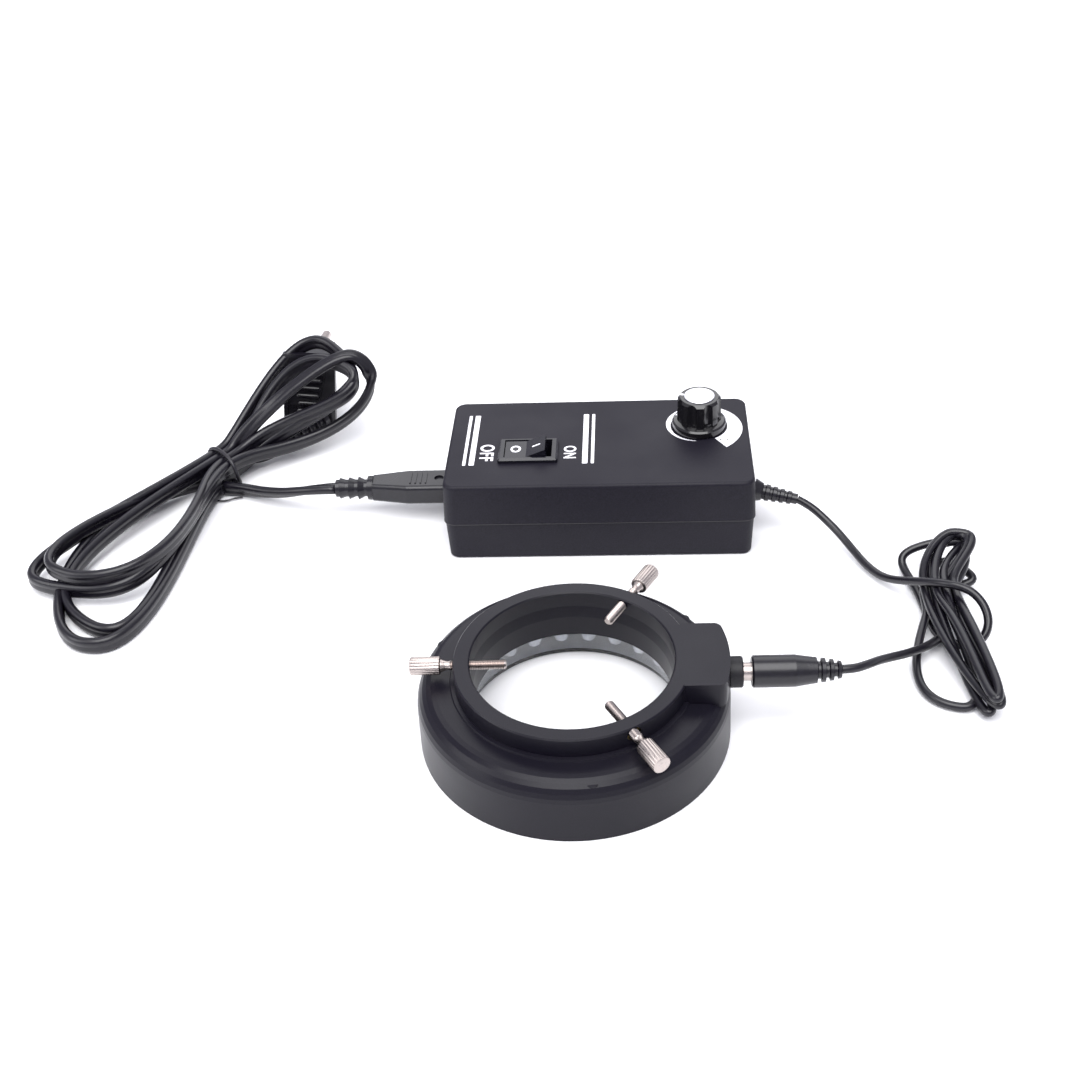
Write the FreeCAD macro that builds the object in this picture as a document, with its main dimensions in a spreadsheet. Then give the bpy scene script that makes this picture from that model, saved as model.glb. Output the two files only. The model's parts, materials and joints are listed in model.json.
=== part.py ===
import FreeCAD, Part
import Sketcher
import math
import os

from FreeCAD import Placement, Rotation, Vector

# LED ring lamp for a stereo microscope, with its mains dimmer box and two leads.
# Millimetres, +Z up, everything stands on z = 0. The origin is the middle of the
# rectangle that the box and the ring cover together.

doc = FreeCAD.newDocument("ring_lamp")
sheet = doc.addObject("Spreadsheet::Sheet", "Dims")
UP = Vector(0, 0, 1)


# ---------------------------------------------------------------- driving dimensions

class Size:
    """A number that remembers the sheet formula it comes from."""

    def __init__(self, value, text):
        self.value = value
        self.text = text

    def __add__(self, other):
        return Size(self.value + number(other), f"({self.text} + {formula(other)})")

    def __sub__(self, other):
        return Size(self.value - number(other), f"({self.text} - {formula(other)})")

    def __rsub__(self, other):
        return Size(number(other) - self.value, f"({formula(other)} - {self.text})")

    def __mul__(self, other):
        return Size(self.value * number(other), f"({self.text} * {formula(other)})")

    def __truediv__(self, other):
        return Size(self.value / number(other), f"({self.text} / {formula(other)})")

    def __neg__(self):
        return Size(-self.value, f"(0 - {self.text})")

    __radd__ = __add__
    __rmul__ = __mul__


def number(size):
    return size.value if isinstance(size, Size) else size


def formula(size):
    return size.text if isinstance(size, Size) else repr(size)


def cell(alias, value, note):
    row = cell.row
    cell.row = row + 1
    sheet.set(f"A{row}", note)
    sheet.set(f"B{row}", str(value))
    sheet.setAlias(f"B{row}", alias)
    return Size(value, f"Dims.{alias}")


cell.row = 1
RING_X = cell("ring_x", -6.05, "ring axis, across")
RING_Y = cell("ring_y", -47.5, "ring axis, in depth")
RING_TURN = cell("ring_turn", 1.2, "the ring's cable side is turned this far from +X, degrees")
RING_R = cell("ring_radius", 47.4, "outside of the lamp ring")
RING_WALL = cell("ring_wall", 2.0, "wall of the ring housing")
COLLAR_R = cell("collar_radius", 35.5, "outside of the clamping collar")
COLLAR_TOP = cell("collar_top", 27.5, "height of the ring")
SHOULDER_Z = cell("shoulder_height", 20.0, "height of the ring's shoulder")
BORE_R = cell("bore_radius", 30.0, "lower, closer part of the bore")
MOUTH_R = cell("mouth_radius", 30.5, "upper part of the bore, where the screws come in")
BORE_FOOT = cell("bore_foot", 10.9, "lower edge of the bore wall")
SCREW_Z = cell("screw_height", 25.0, "axis of the thumbscrews")
SCREW_R = cell("screw_radius", 1.5, "M3 thread")
SCREW_LEN = cell("screw_length", 19.7, "thumbscrew from tip to head")
HEAD_LEN = cell("head_length", 9.4, "knurled head")
HEAD_R = cell("head_radius", 2.75, "knurled head")
LED_R = cell("led_radius", 2.5, "5 mm lamp")
LED_TIP_Z = cell("led_tip", 5.2, "lowest point of the lamps")
JACK_Z = cell("jack_height", 20.0, "axis of the supply socket and plug")
BOX_X = cell("box_x", 0.45, "middle of the control box, across")
BOX_Y = cell("box_y", 66.1, "middle of the control box, in depth")
BOX_W = cell("box_width", 109.0, "control box at its joint line")
BOX_D = cell("box_depth", 58.0, "control box at its joint line")
BOX_H = cell("box_height", 30.6, "control box")
BOX_JOINT = cell("box_joint", 15.2, "height of the line between the two shells")
BOX_WALL = cell("box_wall", 2.0, "shell wall")
BOX_ROUND = cell("box_round", 4.0, "upright corners of the box")
DRAFT = cell("draft", 2.4, "draft of the top shell, degrees")
KNOB_X = cell("knob_x", 36.1, "knob from the box's middle, across")
KNOB_Y = cell("knob_y", 8.9, "knob from the box's middle, in depth")
KNOB_R = cell("knob_radius", 7.8, "fluted body of the knob")
SKIRT_R = cell("skirt_radius", 9.6, "skirt of the knob")
KNOB_H = cell("knob_height", 12.8, "top of the knob above the panel")
SHAFT_R = cell("shaft_radius", 3.0, "dimmer shaft")
SWITCH_X = cell("switch_x", -24.85, "switch from the box's middle, across")
SWITCH_Y = cell("switch_y", -6.75, "switch from the box's middle, in depth")
BEZEL_W = cell("bezel_width", 21.2, "switch bezel")
BEZEL_D = cell("bezel_depth", 14.0, "switch bezel")
INLET_Y = cell("inlet_y", 0.8, "mains inlet from the box's middle, in depth")
INLET_Z = cell("inlet_z", 11.5, "height of the mains inlet")
RELIEF_Y = cell("relief_y", -10.1, "low-voltage lead from the box's middle, in depth")
MAINS_R = cell("mains_radius", 2.4, "plain tube that stands for the flat mains cord")
DC_R = cell("dc_radius", 1.4, "low-voltage cord")

RUNNING = 0.05          # radial clearance of a turning or sliding fit
LOOSE = 0.35            # clearance between a plug and the socket that it leaves
nodes = []


# ---------------------------------------------------------------- small helpers

def bind(thing, prop, size):
    """Set a property, and tie it to the sheet where the size comes from there."""
    if isinstance(size, Size):
        thing.setExpression(prop, size.text)
    else:
        setattr(thing, prop, size)


def node(thing, label, place=None):
    """Keep a finished sub-part under its file name, at its place."""
    if place is not None and not thing.Placement.isIdentity():
        thing = group([thing])
    thing.Label = label
    if place is not None:
        thing.Placement = place
    nodes.append(thing)
    return thing


def new_body():
    return doc.addObject("PartDesign::Body", "Body")


def new_sketch(body, plane, lift=None):
    sketch = body.newObject("Sketcher::SketchObject", "Outline")
    support = next(feature for feature in body.Origin.OriginFeatures if feature.Role == plane)
    sketch.AttachmentSupport = (support, "")
    sketch.MapMode = "FlatFace"
    if lift is not None:
        sketch.AttachmentOffset = Placement(Vector(0, 0, number(lift)), Rotation())
    if isinstance(lift, Size):
        sketch.setExpression("AttachmentOffset.Base.z", lift.text)
    return sketch


def fix_point(sketch, geometry, corner, x, y):
    for kind, size in (("DistanceX", x), ("DistanceY", y)):
        index = sketch.addConstraint(Sketcher.Constraint(kind, -1, 1, geometry, corner, number(size)))
        if isinstance(size, Size):
            sketch.setExpression(f"Constraints[{index}]", size.text)


def draw_outline(sketch, points):
    """A closed outline of straight lines with every corner dimensioned."""
    corners = [Vector(number(x), number(y), 0) for x, y in points]
    count = len(corners)
    for index in range(count):
        sketch.addGeometry(Part.LineSegment(corners[index], corners[(index + 1) % count]))
    for index in range(count):
        sketch.addConstraint(Sketcher.Constraint("Coincident", index, 2, (index + 1) % count, 1))
    for index, (x, y) in enumerate(points):
        fix_point(sketch, index, 1, x, y)


def rectangle(width, depth, x=0.0, y=0.0):
    return [(x - width / 2, y - depth / 2), (x + width / 2, y - depth / 2),
            (x + width / 2, y + depth / 2), (x - width / 2, y + depth / 2)]


def turned(outline):
    """A body turned about its own Z axis from an outline of (radius, height) points."""
    body = new_body()
    sketch = new_sketch(body, "XZ_Plane")
    draw_outline(sketch, outline)
    turning = body.newObject("PartDesign::Revolution", "Turning")
    turning.Profile = sketch
    turning.ReferenceAxis = (sketch, ["V_Axis"])
    turning.Angle = 360
    return body


def padded(outline, height, lift=None, plane="XY_Plane", taper=0.0, back=False):
    body = new_body()
    sketch = new_sketch(body, plane, lift)
    draw_outline(sketch, outline)
    pad = body.newObject("PartDesign::Pad", "Pad")
    pad.Profile = sketch
    bind(pad, "Length", height)
    bind(pad, "TaperAngle", taper)
    pad.Reversed = back
    doc.recompute()
    return body


def edges_where(shape, wanted):
    return [f"Edge{index}" for index, edge in enumerate(shape.Edges, 1) if wanted(edge)]


def round_edges(body, radius, wanted, kind="Fillet"):
    doc.recompute()
    base = body.Tip
    names = edges_where(base.Shape, wanted)
    feature = body.newObject(f"PartDesign::{kind}", kind)
    feature.Base = (base, names)
    bind(feature, "Radius" if kind == "Fillet" else "Size", radius)
    doc.recompute()
    return body


def upright(edge):
    low, high = edge.BoundBox.ZMin, edge.BoundBox.ZMax
    return high - low > 0.8 * edge.Length


def at_height(height):
    return lambda edge: abs(edge.BoundBox.ZMin - height) < 0.01 and abs(edge.BoundBox.ZMax - height) < 0.01


def block(x0, x1, y0, y1, z0, z1):
    box = doc.addObject("Part::Box", "Block")
    bind(box, "Length", x1 - x0)
    bind(box, "Width", y1 - y0)
    bind(box, "Height", z1 - z0)
    box.Placement = Placement(Vector(number(x0), number(y0), number(z0)), Rotation())
    for axis, low in (("x", x0), ("y", y0), ("z", z0)):
        if isinstance(low, Size):
            box.setExpression(f"Placement.Base.{axis}", low.text)
    return box


def rod(radius, length, start, direction=UP):
    """A cylinder that starts at a point and runs along a direction."""
    cylinder = doc.addObject("Part::Cylinder", "Rod")
    bind(cylinder, "Radius", radius)
    bind(cylinder, "Height", length)
    cylinder.Placement = aimed(start, direction)
    return cylinder


def aimed(start, direction):
    return Placement(Vector(*[number(part) for part in start]), Rotation(UP, Vector(direction)))


def cut(base, *tools):
    result = doc.addObject("Part::Cut", "Cut")
    result.Base = base
    result.Tool = tools[0] if len(tools) == 1 else fuse(*tools)
    return result


def fuse(*pieces):
    result = doc.addObject("Part::MultiFuse", "Fuse")
    result.Shapes = list(pieces)
    return result


def common(base, tool):
    result = doc.addObject("Part::Common", "Common")
    result.Base = base
    result.Tool = tool
    return result


def group(pieces):
    """Several loose solids that share one node."""
    result = doc.addObject("Part::Compound", "Group")
    result.Links = list(pieces)
    return result


def copies(source, places):
    """The same solid at several places, as one node."""
    doc.recompute()
    solid = source.Shape.copy()
    solid.Placement = Placement()
    result = doc.addObject("Part::Feature", "Copies")
    shapes = []
    for place in places:
        shape = solid.copy()
        shape.Placement = place
        shapes.append(shape)
    result.Shape = Part.makeCompound(shapes)
    return result


def polar(radius, degrees):
    angle = math.radians(degrees)
    return Vector(number(radius) * math.cos(angle), number(radius) * math.sin(angle), 0)


def stadium(width, height, length, start, direction):
    """A bar with rounded short sides, such as a two-core plug nose, along +X or -X."""
    half = (width - height) / 2
    left = rod(height / 2, length, (start[0], start[1] - half, start[2]), direction)
    right = rod(height / 2, length, (start[0], start[1] + half, start[2]), direction)
    x0 = start[0] if direction[0] > 0 else start[0] - length
    middle = block(x0, x0 + length, start[1] - half, start[1] + half,
                   start[2] - height / 2, start[2] + height / 2)
    return fuse(left, right, middle)


def cord_path(points):
    """Straight runs joined by tangent arcs, each as large as its two runs allow."""
    corners = [Vector(*point) for point in points]
    edges = []
    start = corners[0]
    radii = []
    for before, corner, after in zip(corners, corners[1:], corners[2:]):
        arriving = (corner - before).normalize()
        leaving = (after - corner).normalize()
        turn = arriving.getAngle(leaving)
        reach = 0.45 * min(corner.distanceToPoint(before), corner.distanceToPoint(after))
        radius = reach / math.tan(turn / 2)
        radii.append(radius)
        first = corner - arriving * reach
        last = corner + leaving * reach
        inward = (leaving - arriving).normalize()
        middle = corner + inward * (radius / math.cos(turn / 2) - radius)
        edges.append(Part.LineSegment(start, first).toShape())
        edges.append(Part.Arc(first, middle, last).toShape())
        start = last
    edges.append(Part.LineSegment(start, corners[-1]).toShape())
    return Part.Wire(edges), radii


def cord(label, points, radius):
    """A plain round tube along a free stretch of cord."""
    path, radii = cord_path(points)
    thick = number(radius)
    direction = Vector(*points[1]) - Vector(*points[0])
    section = Part.Wire(Part.makeCircle(thick, Vector(*points[0]), direction))
    tube = path.makePipeShell([section], True, False)
    volume = math.pi * thick * thick * path.Length
    print(label, "length", round(path.Length, 1), "radii", [round(value, 1) for value in radii],
          "volume ratio", round(tube.Volume / volume, 4))
    feature = doc.addObject("Part::Feature", "Cord")
    feature.Shape = tube
    return node(feature, label)



# ---------------------------------------------------------------- lamp ring, about its own axis

RING = Placement(Vector(RING_X.value, RING_Y.value, 0), Rotation(UP, RING_TURN.value))
OUTWARD = Vector(1, 0, 0)
LED_STEP = 15.0
LED_FIRST = 7.5
INNER_LEDS = 35.2
OUTER_LEDS = 41.2
BOARD_Z = LED_TIP_Z + 8.7
BOARD_T = 1.6
SCREW_ANGLES = {"left": 180.0, "rear": 60.0, "front": -60.0}
SCREW_TIPS = {"left": 19.5, "rear": 21.6, "front": 21.0}
COVER_SCREW_ANGLES = (37.5, 157.5, 277.5)
COVER_SCREW_RING = 43.4
BOSS_HALF = 14.0
BOSS_R = 46.7
JACK_FACE = 50.6
PLUG_FACE = 53.2
RIM_ROUND = 6.0


def radial(radius, degrees, height):
    """A place on a spoke of the ring, with its own Z pointing outward."""
    spoke = polar(1.0, degrees)
    point = polar(radius, degrees) + Vector(0, 0, number(height))
    return Placement(point, Rotation(UP, spoke))


def make_ring_housing():
    step = COLLAR_TOP - 5.5
    rim = []
    for angle in range(0, 91, 15):
        corner = polar(RIM_ROUND, angle)
        rim.append((RING_R - 0.3 - RIM_ROUND + corner.x, SHOULDER_Z + 0.3 - RIM_ROUND + corner.y))
    shell = turned([(RING_R, 0.0)] + rim + [
        (COLLAR_R + 1.4, SHOULDER_Z + 0.5), (COLLAR_R + 1.1, SHOULDER_Z + 1.1),
        (COLLAR_R, SHOULDER_Z + 1.2), (COLLAR_R, COLLAR_TOP - 0.4), (COLLAR_R - 0.4, COLLAR_TOP),
        (MOUTH_R + 0.4, COLLAR_TOP), (MOUTH_R, COLLAR_TOP - 0.4), (MOUTH_R, step),
        (BORE_R, step - 4.0), (BORE_R, BORE_FOOT), (BORE_R + RING_WALL, BORE_FOOT),
        (BORE_R + RING_WALL, SHOULDER_Z - RING_WALL), (RING_R - 4.2, SHOULDER_Z - RING_WALL),
        (RING_R - RING_WALL - 0.3, SHOULDER_Z - 4.0), (RING_R - RING_WALL, 0.0)])
    boss_foot = SHOULDER_Z - 1.0
    boss = common(block(COLLAR_R - 3.0, BOSS_R + 1.0, -BOSS_HALF, BOSS_HALF, boss_foot, COLLAR_TOP),
                  rod(BOSS_R, COLLAR_TOP, (0, 0, 0)))
    corners = doc.addObject("Part::Fillet", "BossCorners")
    doc.recompute()
    corners.Base = boss
    corners.Edges = [(index, 2.5, 2.5) for index, edge in enumerate(boss.Shape.Edges, 1)
                     if upright(edge) and edge.BoundBox.XMin > number(COLLAR_R) + 2]
    pillars = [rod(2.0, SHOULDER_Z - 3.0, polar(COVER_SCREW_RING, angle) + Vector(0, 0, 2.1))
               for angle in COVER_SCREW_ANGLES]
    holes = [block(COLLAR_R, BOSS_R - 2.0, -6.5, 6.5, BOARD_Z + BOARD_T, COLLAR_TOP - 1.8),
             rod(4.0 + RUNNING, 8.0, (42.0, 0, JACK_Z), OUTWARD),
             rod(4.9, 8.0, (46.7, 0, JACK_Z), OUTWARD)]
    for name, angle in SCREW_ANGLES.items():
        hole = rod(1.7, 8.0, (0, 0, 0))
        hole.Placement = radial(BORE_R - 1.0, angle, SCREW_Z)
        seat = rod(2.3, 6.0, (0, 0, 0))
        seat.Placement = radial(COLLAR_R - 4.3, angle, SCREW_Z)
        holes += [hole, seat]
    for angle in COVER_SCREW_ANGLES:
        holes.append(rod(0.8, 8.0, polar(COVER_SCREW_RING, angle)))
    return node(cut(fuse(shell, corners, *pillars), *holes), "ring_housing", RING)


def make_clear_cover():
    edge = RING_R - RING_WALL - 0.2
    plate = turned([(BORE_R + 3.7, 0.4), (edge, 0.4), (edge, 2.0), (BORE_R + 4.3, 2.0),
                    (BORE_R + 1.7, BORE_FOOT), (BORE_R + 0.5, BORE_FOOT)])
    holes = []
    for angle in COVER_SCREW_ANGLES:
        holes.append(rod(1.1, 4.0, polar(COVER_SCREW_RING, angle)))
        holes.append(rod(2.0, 1.0, polar(COVER_SCREW_RING, angle)))
    return node(cut(plate, *holes), "clear_cover", RING)


def make_cover_screws():
    screw = turned([(0, 0.1), (1.7, 0.1), (1.7, 1.0), (0.8, 1.0), (0.8, 6.5), (0, 7.0)])
    return node(copies(screw, [RING * Placement(polar(COVER_SCREW_RING, angle), Rotation())
                               for angle in COVER_SCREW_ANGLES]), "cover_screws")


def make_led_board():
    board = turned([(BORE_R + 2.4, BOARD_Z), (RING_R - RING_WALL - 0.6, BOARD_Z),
                    (RING_R - RING_WALL - 0.6, BOARD_Z + BOARD_T), (BORE_R + 2.4, BOARD_Z + BOARD_T)])
    notches = [rod(2.3, 6.0, polar(COVER_SCREW_RING, angle) + Vector(0, 0, BOARD_Z.value - 2))
               for angle in COVER_SCREW_ANGLES]
    return node(cut(board, *notches), "led_board", RING)


def make_leds():
    lens = LED_R
    led = turned([(0, 0.0), (lens * 0.5, 0.34), (lens * 0.87, 1.25), (lens, 2.5), (lens, 7.7),
                  (lens + 0.4, 7.7), (lens + 0.4, 8.7), (0, 8.7)])
    places = []
    for index in range(int(360 / LED_STEP)):
        angle = LED_FIRST + index * LED_STEP
        for radius, shift in ((INNER_LEDS, 0.0), (OUTER_LEDS, LED_STEP / 2)):
            spot = polar(radius, angle + shift) + Vector(0, 0, LED_TIP_Z.value)
            places.append(RING * Placement(spot, Rotation()))
    return node(copies(led, places), "leds")


def make_led_resistors():
    chip = block(-1.6, 1.6, -0.8, 0.8, 0.0, 0.6)
    top = (BOARD_Z + BOARD_T).value
    places = []
    for angle in range(60, 320, 30):
        spot = polar(38.2, angle) + Vector(0, 0, top)
        places.append(RING * Placement(spot, Rotation(UP, angle)))
    return node(copies(chip, places), "led_resistors")


def make_jack():
    collar = turned([(3.1, 0.0), (4.0, 0.0), (4.0, 6.72), (4.72, 6.72), (4.72, 10.2), (4.4, 10.6),
                     (3.1, 10.6)])
    collar.Placement = aimed((40.0, 0, JACK_Z), OUTWARD)
    rear = block(36.0, 40.0, -4.6, 4.6, JACK_Z - 4.4, JACK_Z + 4.4)
    node(fuse(collar, rear), "dc_jack", RING)
    contact = turned([(0, 0), (1.0, 0), (1.0, 8.6), (0.5, 9.2), (0, 9.2)])
    node(contact, "jack_centre_pin", RING * aimed((40.0, 0, JACK_Z), OUTWARD))
    top = (BOARD_Z + BOARD_T).value
    wires = [rod(0.5, 2.0, (34.0, side, top + 0.5), OUTWARD) for side in (-2.5, 2.5)]
    node(group(wires), "jack_wires", RING)


def make_thumbscrew(name):
    neck = SCREW_LEN
    end = SCREW_LEN + HEAD_LEN
    body = turned([(0, 0), (SCREW_R - 0.35, 0), (SCREW_R, 0.35), (SCREW_R, neck - 1.2),
                   (SCREW_R + 0.5, neck), (HEAD_R - 0.3, neck), (HEAD_R, neck + 0.4),
                   (HEAD_R, end - 0.5), (HEAD_R - 0.5, end), (0, end)])
    slot = block(-3.0, 3.0, -0.25, 0.25, -0.5, 0.8)
    place = RING * radial(SCREW_TIPS[name], SCREW_ANGLES[name], SCREW_Z)
    return node(cut(body, slot), f"thumbscrew_{name}", place)


def make_thread_inserts():
    sleeve = turned([(SCREW_R + RUNNING, 0), (2.3, 0), (2.3, 3.0), (SCREW_R + RUNNING, 3.0)])
    return node(copies(sleeve, [RING * radial(COLLAR_R - 4.3, angle, SCREW_Z)
                                for angle in SCREW_ANGLES.values()]), "thread_inserts")


make_ring_housing()
make_clear_cover()
make_cover_screws()
make_led_board()
make_leds()
make_led_resistors()
make_jack()
for screw_name in SCREW_ANGLES:
    make_thumbscrew(screw_name)
make_thread_inserts()


# ---------------------------------------------------------------- control box

BOX = Placement(Vector(BOX_X.value, BOX_Y.value, 0), Rotation())
POST_X = 46.5
POST_Y = 21.5
POST_R = 3.4
POSTS = [(x, y) for x in (-POST_X, POST_X) for y in (-POST_Y, POST_Y)]
INLET_OPEN_D = 17.4
INLET_OPEN_H = 11.4
FLANGE_D = 28.5
FLANGE_H = 14.0
FLANGE_T = 0.9
CONNECTOR_W = 12.2
CONNECTOR_H = 6.8
PANEL_Z = BOX_H
BUSH_R = 3.5
BODY_GAP = 0.1


def inlet_opening():
    return block(-BOX_W / 2 - 3.0, -BOX_W / 2 + 6.0, INLET_Y - INLET_OPEN_D / 2, INLET_Y + INLET_OPEN_D / 2,
                 INLET_Z - INLET_OPEN_H / 2, INLET_Z + INLET_OPEN_H / 2)


def relief_opening():
    return rod(3.2, 10.0, (BOX_W / 2 - 6.0, RELIEF_Y, BOX_JOINT), OUTWARD)


def make_bottom_shell():
    low = -0.45
    outer = padded(rectangle(BOX_W - 2.0, BOX_D - 2.0), BOX_JOINT - 0.1, taper=2.0)
    round_edges(outer, BOX_ROUND - 0.5, upright)
    round_edges(outer, 0.9, at_height(0.0))
    hollow = padded(rectangle(BOX_W - 5.6, BOX_D - 5.6), BOX_JOINT, lift=BOX_WALL)
    round_edges(hollow, BOX_ROUND - 2.0, upright)
    shell = cut(outer, hollow)
    posts = [rod(POST_R, BOX_JOINT - 1.2, (x, y, 1.0)) for x, y in POSTS]
    supports = [rod(2.5, 4.2, (x, y, 1.0)) for x, y in BOARD_POSTS]
    holes = []
    for x, y in POSTS:
        holes.append(rod(1.7, BOX_JOINT + 2.0, (x, y, low)))
        holes.append(rod(3.0, 2.6 - low, (x, y, low)))
    whole = cut(fuse(shell, *posts, *supports), *holes, inlet_opening(), relief_opening())
    node(group([whole]), "bottom_shell", BOX)
    return whole


def make_top_shell():
    height = BOX_H - BOX_JOINT
    outer = padded(rectangle(BOX_W, BOX_D), height, lift=BOX_JOINT, taper=-DRAFT)
    round_edges(outer, BOX_ROUND, upright)
    round_edges(outer, 1.2, at_height(number(BOX_H)))
    hollow = padded(rectangle(BOX_W - 5.6, BOX_D - 5.6), height - BOX_WALL + 0.5,
                    lift=BOX_JOINT - 0.5)
    round_edges(hollow, BOX_ROUND - 2.0, upright)
    posts = [rod(POST_R, height - 1.0, (x, y, BOX_JOINT)) for x, y in POSTS]
    holes = [rod(1.25, 9.0, (x, y, BOX_JOINT - 0.5)) for x, y in POSTS]
    holes.append(rod(BUSH_R + BODY_GAP, 6.0, (KNOB_X, KNOB_Y, PANEL_Z - 4.0)))
    holes.append(block(SWITCH_X - SWITCH_W / 2 - BODY_GAP, SWITCH_X + SWITCH_W / 2 + BODY_GAP,
                       SWITCH_Y - SWITCH_D / 2 - BODY_GAP, SWITCH_Y + SWITCH_D / 2 + BODY_GAP,
                       PANEL_Z - 6.0, PANEL_Z + 2.0))
    whole = cut(fuse(cut(outer, hollow), *posts), *holes, inlet_opening(), relief_opening())
    node(group([whole]), "top_shell", BOX)
    return whole


def make_case_screws():
    screw = turned([(0, 0.9), (2.7, 0.9), (2.7, 2.6), (1.2, 2.6), (1.2, BOX_JOINT + 4.0),
                    (0, BOX_JOINT + 5.0)])
    places = [BOX * Placement(Vector(x, y, 0), Rotation()) for x, y in POSTS]
    return node(copies(screw, places), "case_screws")


BOARD_POSTS = [(-30.0, -18.0), (-30.0, 18.0), (38.0, -18.0), (38.0, 18.0)]
PCB_Z = 5.2
PCB_T = 1.6
PCB_TOP = PCB_Z + PCB_T


def make_board():
    board = block(-34.0, 42.0, -22.0, 22.0, PCB_Z, PCB_TOP)
    node(board, "circuit_board", BOX)
    core = block(0.0, 20.0, -16.0, 4.0, PCB_TOP, PCB_TOP + 17.0)
    winding = block(3.0, 17.0, -18.0, 6.0, PCB_TOP + 3.0, PCB_TOP + 14.0)
    node(fuse(core, winding), "transformer", BOX)
    cans = [rod(5.0, 15.5, (-8.0, -13.0, PCB_TOP)), rod(4.0, 12.0, (-8.0, 12.0, PCB_TOP)),
            rod(4.0, 12.0, (28.0, -14.0, PCB_TOP))]
    node(group(cans), "capacitors", BOX)
    node(block(34.0, 36.0, -18.0, -4.0, PCB_TOP, PCB_TOP + 12.0), "heatsink", BOX)
    node(block(32.0, 33.9, -14.0, -6.0, PCB_TOP, PCB_TOP + 10.0), "power_transistor", BOX)
    fuse_body = rod(2.4, 16.0, (-30.0, 12.0, PCB_TOP + 3.2), OUTWARD)
    node(fuse_body, "fuse", BOX)
    clips = [block(x, x + 2.0, 9.0, 15.0, PCB_TOP, PCB_TOP + 0.8) for x in (-29.0, -17.0)]
    node(group(clips), "fuse_clips", BOX)


SWITCH_W = 18.8
SWITCH_D = 12.8
SWITCH_BOTTOM = 17.0
PIVOT_Z = PANEL_Z - 2.0
ROCKER_D = 10.4
OPENING_W = 16.9
OPENING_D = 11.2
ROCKER_LEAN = 11.2


def make_switch():
    place = BOX * Placement(Vector(SWITCH_X.value, SWITCH_Y.value, 0), Rotation())
    bezel = padded(rectangle(BEZEL_W, BEZEL_D), 1.8, lift=PANEL_Z)
    round_edges(bezel, 0.8, upright)
    round_edges(bezel, 0.7, at_height(number(PANEL_Z) + 1.8), kind="Chamfer")
    body = block(-SWITCH_W / 2, SWITCH_W / 2, -SWITCH_D / 2, SWITCH_D / 2, SWITCH_BOTTOM, PANEL_Z)
    well = block(-OPENING_W / 2, OPENING_W / 2, -OPENING_D / 2, OPENING_D / 2, PIVOT_Z - 5.0,
                 PANEL_Z + 3.0)
    trunnions = rod(1.0 + RUNNING, SWITCH_D - 0.2, (0, -SWITCH_D / 2 + 0.1, PIVOT_Z), (0, 1, 0))
    node(cut(fuse(bezel, body), well, trunnions), "switch_housing", place)
    blades = [block(x, x + 0.8, -2.4, 2.4, SWITCH_BOTTOM - 5.0, SWITCH_BOTTOM) for x in (-6.0, 4.0)]
    node(group(blades), "switch_terminals", place)
    rocker = padded([(-7.3, 5.0), (0, 3.55), (7.3, 5.0), (6.9, 0.5), (4.5, -2.0), (-4.5, -2.0),
                     (-6.9, 0.5)], ROCKER_D, plane="XZ_Plane", back=True)
    rocker.Placement = Placement(Vector(0, -ROCKER_D / 2, 0), Rotation())
    pins = rod(1.0, SWITCH_D - 0.6, (0, -SWITCH_D / 2 + 0.3, 0), (0, 1, 0))
    lean = Placement(Vector(0, 0, PIVOT_Z.value), Rotation(Vector(0, 1, 0), -ROCKER_LEAN))
    node(fuse(rocker, pins), "rocker", place * lean)


def make_dimmer():
    place = BOX * Placement(Vector(KNOB_X.value, KNOB_Y.value, 0), Rotation())
    under = PANEL_Z - BOX_WALL - 0.5
    can = turned([(SHAFT_R + RUNNING, under - 9.0), (8.0, under - 9.0), (8.0, under),
                  (BUSH_R, under), (BUSH_R, PANEL_Z + 2.9), (SHAFT_R + RUNNING, PANEL_Z + 2.9)])
    node(can, "dimmer_body", place)
    nut = padded([(5.6, 0), (2.8, 4.85), (-2.8, 4.85), (-5.6, 0), (-2.8, -4.85), (2.8, -4.85)],
                 2.0, lift=PANEL_Z)
    node(cut(nut, rod(BUSH_R, 9.0, (0, 0, PANEL_Z - 3.0))), "dimmer_nut", place)
    lugs = [block(x - 0.6, x + 0.6, -11.5, -5.0, under - 3.0, under - 2.4) for x in (-5.0, 0.0, 5.0)]
    node(cut(group(lugs), rod(8.0, 9.0, (0, 0, under - 9.0))), "dimmer_lugs", place)
    node(rod(SHAFT_R, 19.0, (0, 0, under - 8.5)), "dimmer_shaft", place)


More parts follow.
